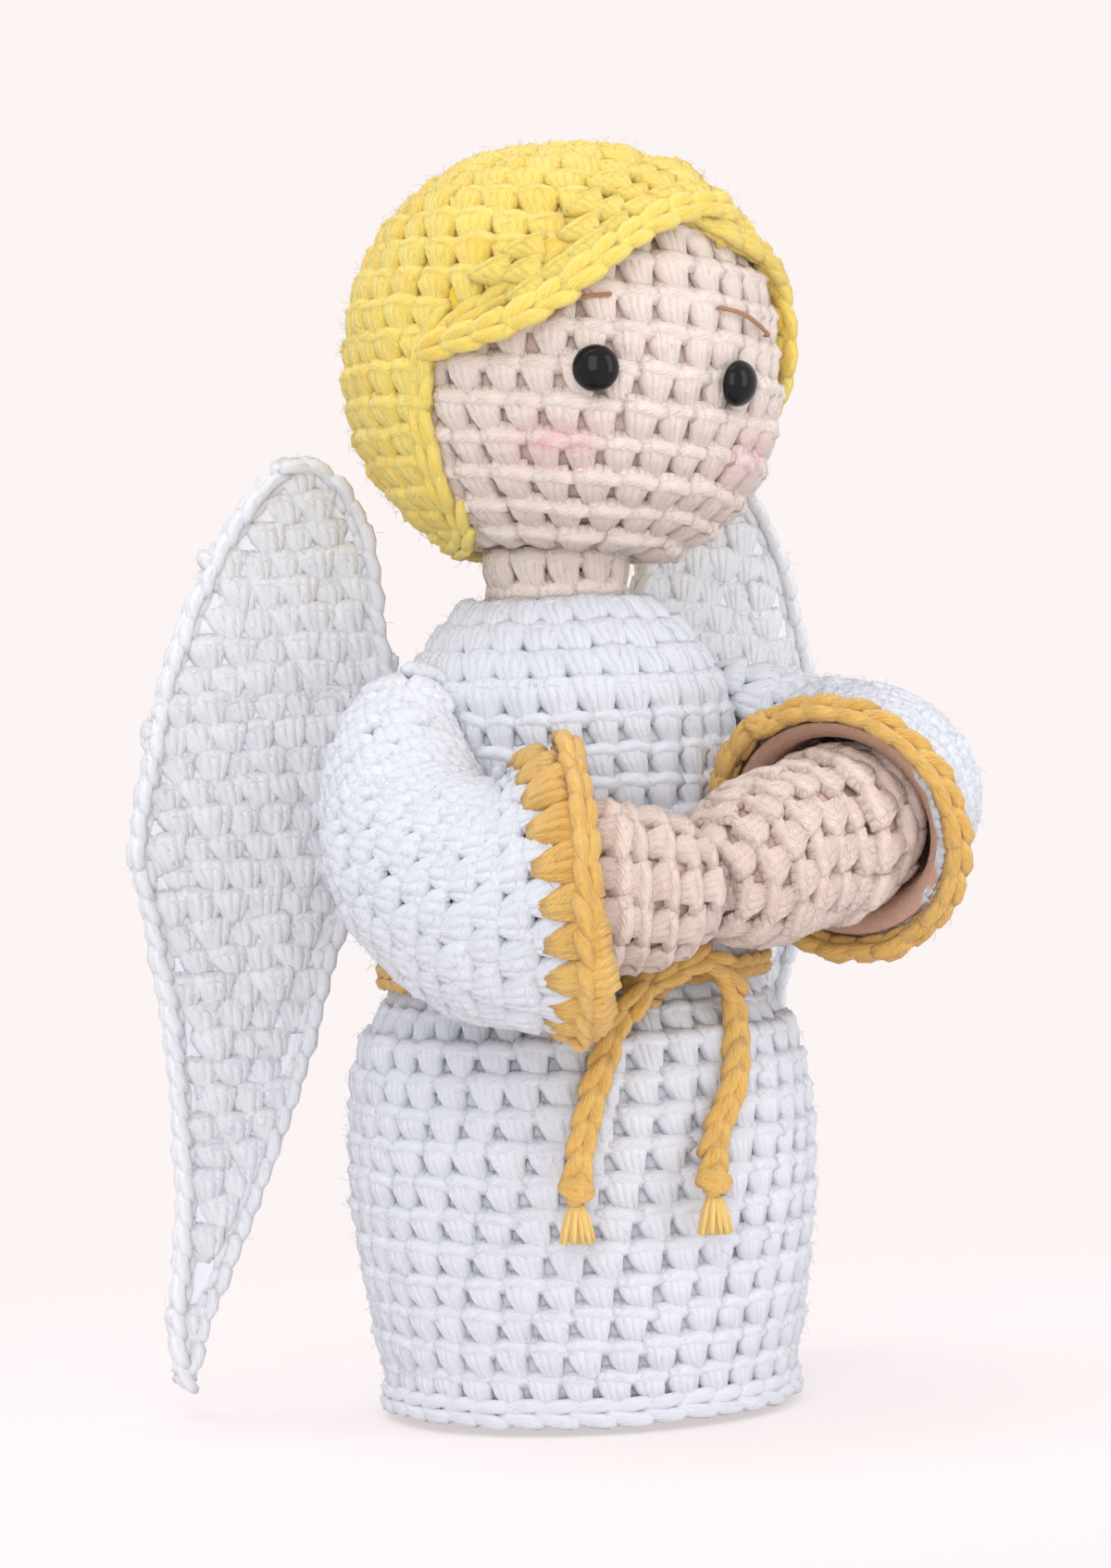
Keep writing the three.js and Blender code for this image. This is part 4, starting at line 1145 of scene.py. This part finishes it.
def armPieces(side, seed):
    arm = Arm(side)
    stops = [arm.length - 1.2]
    while stops[-1] > 1:  # the outer side of the bend sets the height of a round
        here = [arm.sleevePoint(k / 12, stops[-1], 0) for k in range(12)]
        back = [arm.sleevePoint(k / 12, stops[-1] - 1, 0) for k in range(12)]
        widest = max(np.linalg.norm(p - q) for p, q in zip(here, back))
        stops.append(stops[-1] - arms["round"] / widest)
    stops = stops[::-1]

    def sleeveRun(level):
        return float(np.interp(level, range(len(stops)), stops))

    def sleeveAt(turn, level):
        return arm.sleevePoint(turn, sleeveRun(level), arms["sink"])

    def sleeveShown(turn, level):
        outside = arm.sleevePoint(turn, sleeveRun(level + 0.5), 0)
        return np.linalg.norm(clearOfDress(outside, 0.2) - outside) < 1.7

    spots = rounds(sleeveAt, range(len(stops) - 1), arms["wide"], -0.22, None, sleeveShown, -1)
    spots = [(clearOfDress(spot[0], 0.9), *spot[1:]) for spot in spots]
    fabric = stitched("sleeve_rounds_" + side, spots, denseStitch, white, 0.07, 0.05, 0.5, seed)
    inside = arms["lining"]
    shares, sides = [*np.linspace(*inside["shares"]), 1], inside["sides"]
    lining = []
    for sink, way in ((inside["sink"], 1), (inside["sink"] + inside["thick"], -1)):
        for share in shares[::way]:
            deep = sink if share < 1 else sink - inside["lip"]
            ring = [arm.sleevePoint(k / sides, share * (arm.length + 1), deep) for k in reversed(range(sides))]
            lining.append(np.array([clearOfDress(p, 1.2) for p in ring]))
    inner = skinned("sleeve_lining", lining, bodyFibre, sleeveShade)
    low, high = inside["shaded"]  # skin brown inside the bell: the arm's colour, darkened as painted shade
    shades = [int(low <= row < high) for row in range(len(lining) - 1) for _ in range(sides)]
    inner.data.polygons.foreach_set("material_index", shades + [0] * (2 * sides))
    finished([fabric, inner], side + "_arm", "sleeve_" + side)
    teeth = arms["teeth"]

    def edgeAt(turn, level):
        return arm.sleevePoint(turn, arm.length - teeth["start"] + level * teeth["tall"], teeth["sink"])

    edge = rounds(edgeAt, [0], teeth["wide"], 0, None, None, -1)
    trims = [stitched("cuff_trim_" + side, edge, edgeStitch, gold, 0.08, 0.05, 0.4, seed + 1)]
    rim = [arm.sleevePoint(k / 80, arm.length + arms["rimOut"], -0.05) for k in range(80)]
    middle = arm.cuff + arm.along * arms["rimOut"]
    trims.append(chained("cuff_braid", rim, lambda p: unit(p - middle) + arm.along * 0.75, arms["rim"], True, gold,
                         0.08, 0.05, 0.4, seed + 2))
    if side == "left":  # where the round was joined
        joinAt = max(rim, key=lambda p: np.dot(p - arm.cuff, (-0.54, 0.26, 0.8)))
        trims.append(tightKnot("cuff_join", joinAt + (-0.7, -1.5, 0.8), 0.9, 0.3))
    finished(trims, side + "_arm", "sleeve_trim_" + side)
    handRows = int((arm.reach + hands["inside"]) / hands["round"])

    def handAt(turn, level):
        return arm.handPoint(turn, level * hands["round"] - hands["inside"], hands["sink"])

    def handShown(turn, level):
        outside = arm.handPoint(turn, (level + 0.4) * hands["round"] - hands["inside"], 0.5)
        return arm.sign * outside[0] > -hands["flat"]

    handSpots = rounds(handAt, range(handRows), hands["wide"], -0.2, None, handShown, -1)
    for point, *_ in handSpots:  # pressed flat where the hands are sewn together
        point[0] = arm.sign * max(arm.sign * point[0], hands["flat"])
    hand = stitched("hand_rounds_" + side, handSpots, singleStitch, handSkinDarkened, 0.08, 0.05, 0.45, seed + 3)

    def handRings(first, last, sink):
        rings = []
        for run in np.linspace(first, last, 24):
            ring = np.array([arm.handPoint(k / 36, run, sink) for k in reversed(range(36))])
            ring[:, 0] = arm.sign * np.maximum(arm.sign * ring[:, 0], hands["flat"] + 0.1)
            rings.append(ring)
        return rings

    bed = bedShell("hand_bed", lambda deep: handRings(-hands["inside"], arm.reach - 1.5, hands["sink"] + deep),
                   shadedHandBed)
    finished([hand, bed], side + "_arm", "hand_" + side)
    fill = skinned("arm_fibre_" + side, handRings(-12, arm.reach - 1, hands["fill"]), shadedHeadFibre)
    finished([fill], side + "_arm", "arm_stuffing_" + side)
    print(side, "arm made", len(spots), "and", len(handSpots), "stitches")


# the skin yarn painted darker for the hands, against the light that falls on them from above
handSkinDarkened = yarnMaterial("hand_yarn_darkened")
sleeveShade = fillingMaterial("sleeve_shade", *filling["arm"])
shadedHandBed = fillingMaterial("hand_bed", *filling["shadedHandBed"])
armPieces("right", 51)
armPieces("left", 61)

# Wings: flat leaves of close stitches on both faces, with a chain worked round the edge
wings = {
    "outline": ((14.4, 45), (24.2, 39.4), (32.4, 25.5), (36.7, 13), (40, -2.6), (39.2, -11.1), (36.1, -28.4),
                (34.6, -51.3), (36, -70), (33.6, -76.5), (29.6, -67.5), (23.4, -54), (16.4, -37.3), (10.4, -19),
                (2, -8), (0.4, 7), (3, 19), (6, 36.5)),
    "seam": (13, 20.66, 80.5),
    "lean": 4.6,
    "tilt": {"right": 0, "left": 8},  # the tip swung inward
    "fold": {"right": 0, "left": 9},  # folded back, as sewn on
    "round": 3.7,
    "wide": 4.3,
    "edge": (0.8, 0.95, 0.8),
    "inset": 1.5,
    "margin": 2.5,  # from the outline to the nearest stitch
    "thick": 0.52,
    "plate": (2.6, 2.3, 0.3),  # inset of the core, its least margin and half its thickness
    "dressGap": 0.6,
    "hairGap": 5.0,
    "floor": 0.1,
}


def leafLine(count):  # the closed outline, point by point
    ends = wings["outline"]
    loop = ends[-2:] + ends + ends[:3]
    total = len(loop) - 1
    shares = np.linspace(2 / total, (2 + len(ends)) / total, count, endpoint=False)
    return np.array([spline(loop, s) for s in shares])


def insideLeaf(point, line, margin):
    x, y = point
    inside = False
    for (x1, y1), (x2, y2) in zip(line, np.roll(line, -1, axis=0)):
        if (y1 > y) != (y2 > y) and x < x1 + (y - y1) / (y2 - y1) * (x2 - x1):
            inside = not inside
    return inside and np.linalg.norm(line - np.array(point), axis=1).min() > margin


def hairClear(point, margin):
    local = headTurn.T @ (np.asarray(point) - np.array((0, 0, head["neckTop"]))) - np.array((0, 0, headCentre))
    up = math.degrees(math.atan2(local[2], math.hypot(local[0], local[1])))
    return np.linalg.norm(local) > headReach(up, margin)


def plateMesh(name, faces):  # a flat plate between two outlines
    count = len(faces[0])
    sides = [(k, count + k, count + (k + 1) % count, (k + 1) % count) for k in range(count)]
    caps = [tuple(range(count)), tuple(reversed(range(count, 2 * count)))]
    return newMesh(name, [p for layer in faces for p in layer], caps + sides, False)


def wingPieces(side, sign, seed):
    lean = math.radians(wings["lean"])
    seam = np.array((sign * wings["seam"][0], *wings["seam"][1:]))
    tilt, fold = math.radians(wings["tilt"][side]), math.radians(wings["fold"][side])
    flat = np.array((0, -math.cos(lean), -math.sin(lean)))
    level = np.array((sign * math.cos(fold), 0, 0)) - flat * math.sin(fold)
    steep = np.array((0, -math.sin(lean), math.cos(lean)))
    face = np.array((sign * math.sin(fold), 0, 0)) + flat * math.cos(fold)
    outward = level * math.cos(tilt) - steep * math.sin(tilt)
    upward = level * math.sin(tilt) + steep * math.cos(tilt)

    def place(out, up, lift=0.0):
        return seam + outward * out + upward * up + face * lift

    line = leafLine(160)
    collar = dress["levels"][-1][1]
    size = (wings["wide"] / stitchShape["wide"], wings["round"] / stitchShape["tall"], wings["thick"])
    spots = []
    for front in (1, -1):
        for row, up in enumerate(np.arange(-78, 44, wings["round"])):
            for out in np.arange(-1 + (row % 2) * wings["wide"] * 0.4, 41, wings["wide"]):
                centre = (out, up + wings["round"] / 2)
                outer = place(*centre, 1.6 * front)
                reach = dressRadius(min(outer[2], collar)) + wings["dressGap"]
                bare = math.hypot(outer[0], outer[1]) < reach and outer[2] < collar + 1
                if insideLeaf(centre, line, wings["margin"]) and not bare and hairClear(outer, wings["hairGap"]):
                    spots.append((place(out, up, 0.05 * front), face * front, upward, size))
    panel = stitched("wing_rows_" + side, spots, denseStitch, wingWhiteLightened, 0.12, 0.08, 0.6, seed, 150)
    core = leafLine(90)
    inset, margin, half = wings["plate"]
    inner = [p + unit(core[(k + 1) % 90] - core[k - 1])[::-1] * (inset, -inset) for k, p in enumerate(core)]
    kept = [p for p in inner if insideLeaf(p, line, margin)][::-sign]
    leaf = [[place(*p, lift) for p in kept] for lift in (half, -half)]
    plate = bareObject("wing_core", plateMesh("wing_core", leaf), wingWhiteLightened)
    finished([panel, plate], side + "_wing", "wing_" + side)
    rim, outs = [], []
    for k, p in enumerate(line):
        way = unit(line[(k + 1) % 160] - line[k - 1])
        normal = np.array((way[1], -way[0]))
        if insideLeaf(p + normal * 0.5, line, 0):
            normal = -normal
        rim.append(place(*(p - normal * wings["inset"])))
        outs.append(place(*normal) - seam)
    rim, outs = np.array(rim), np.array(outs)
    edging = chained("wing_edge_" + side, rim, lambda p: outs[np.linalg.norm(rim - p, axis=1).argmin()], wings["edge"],
                     True, wingWhiteLightened, 0.07, 0.05, 0.4, seed + 1)
    for vertex in edging.data.vertices:  # the tip rests on the floor
        vertex.co.z = max(vertex.co.z, wings["floor"] * mm)
    finished([edging], side + "_wing", "wing_edging_" + side)
    print(side, "wing made", len(spots), "stitches")


# the white yarn painted lighter, against the shade on the wings
wingWhiteLightened = yarnMaterial("wing_yarn_lightened")
wingPieces("right", -1, 71)
wingPieces("left", 1, 81)
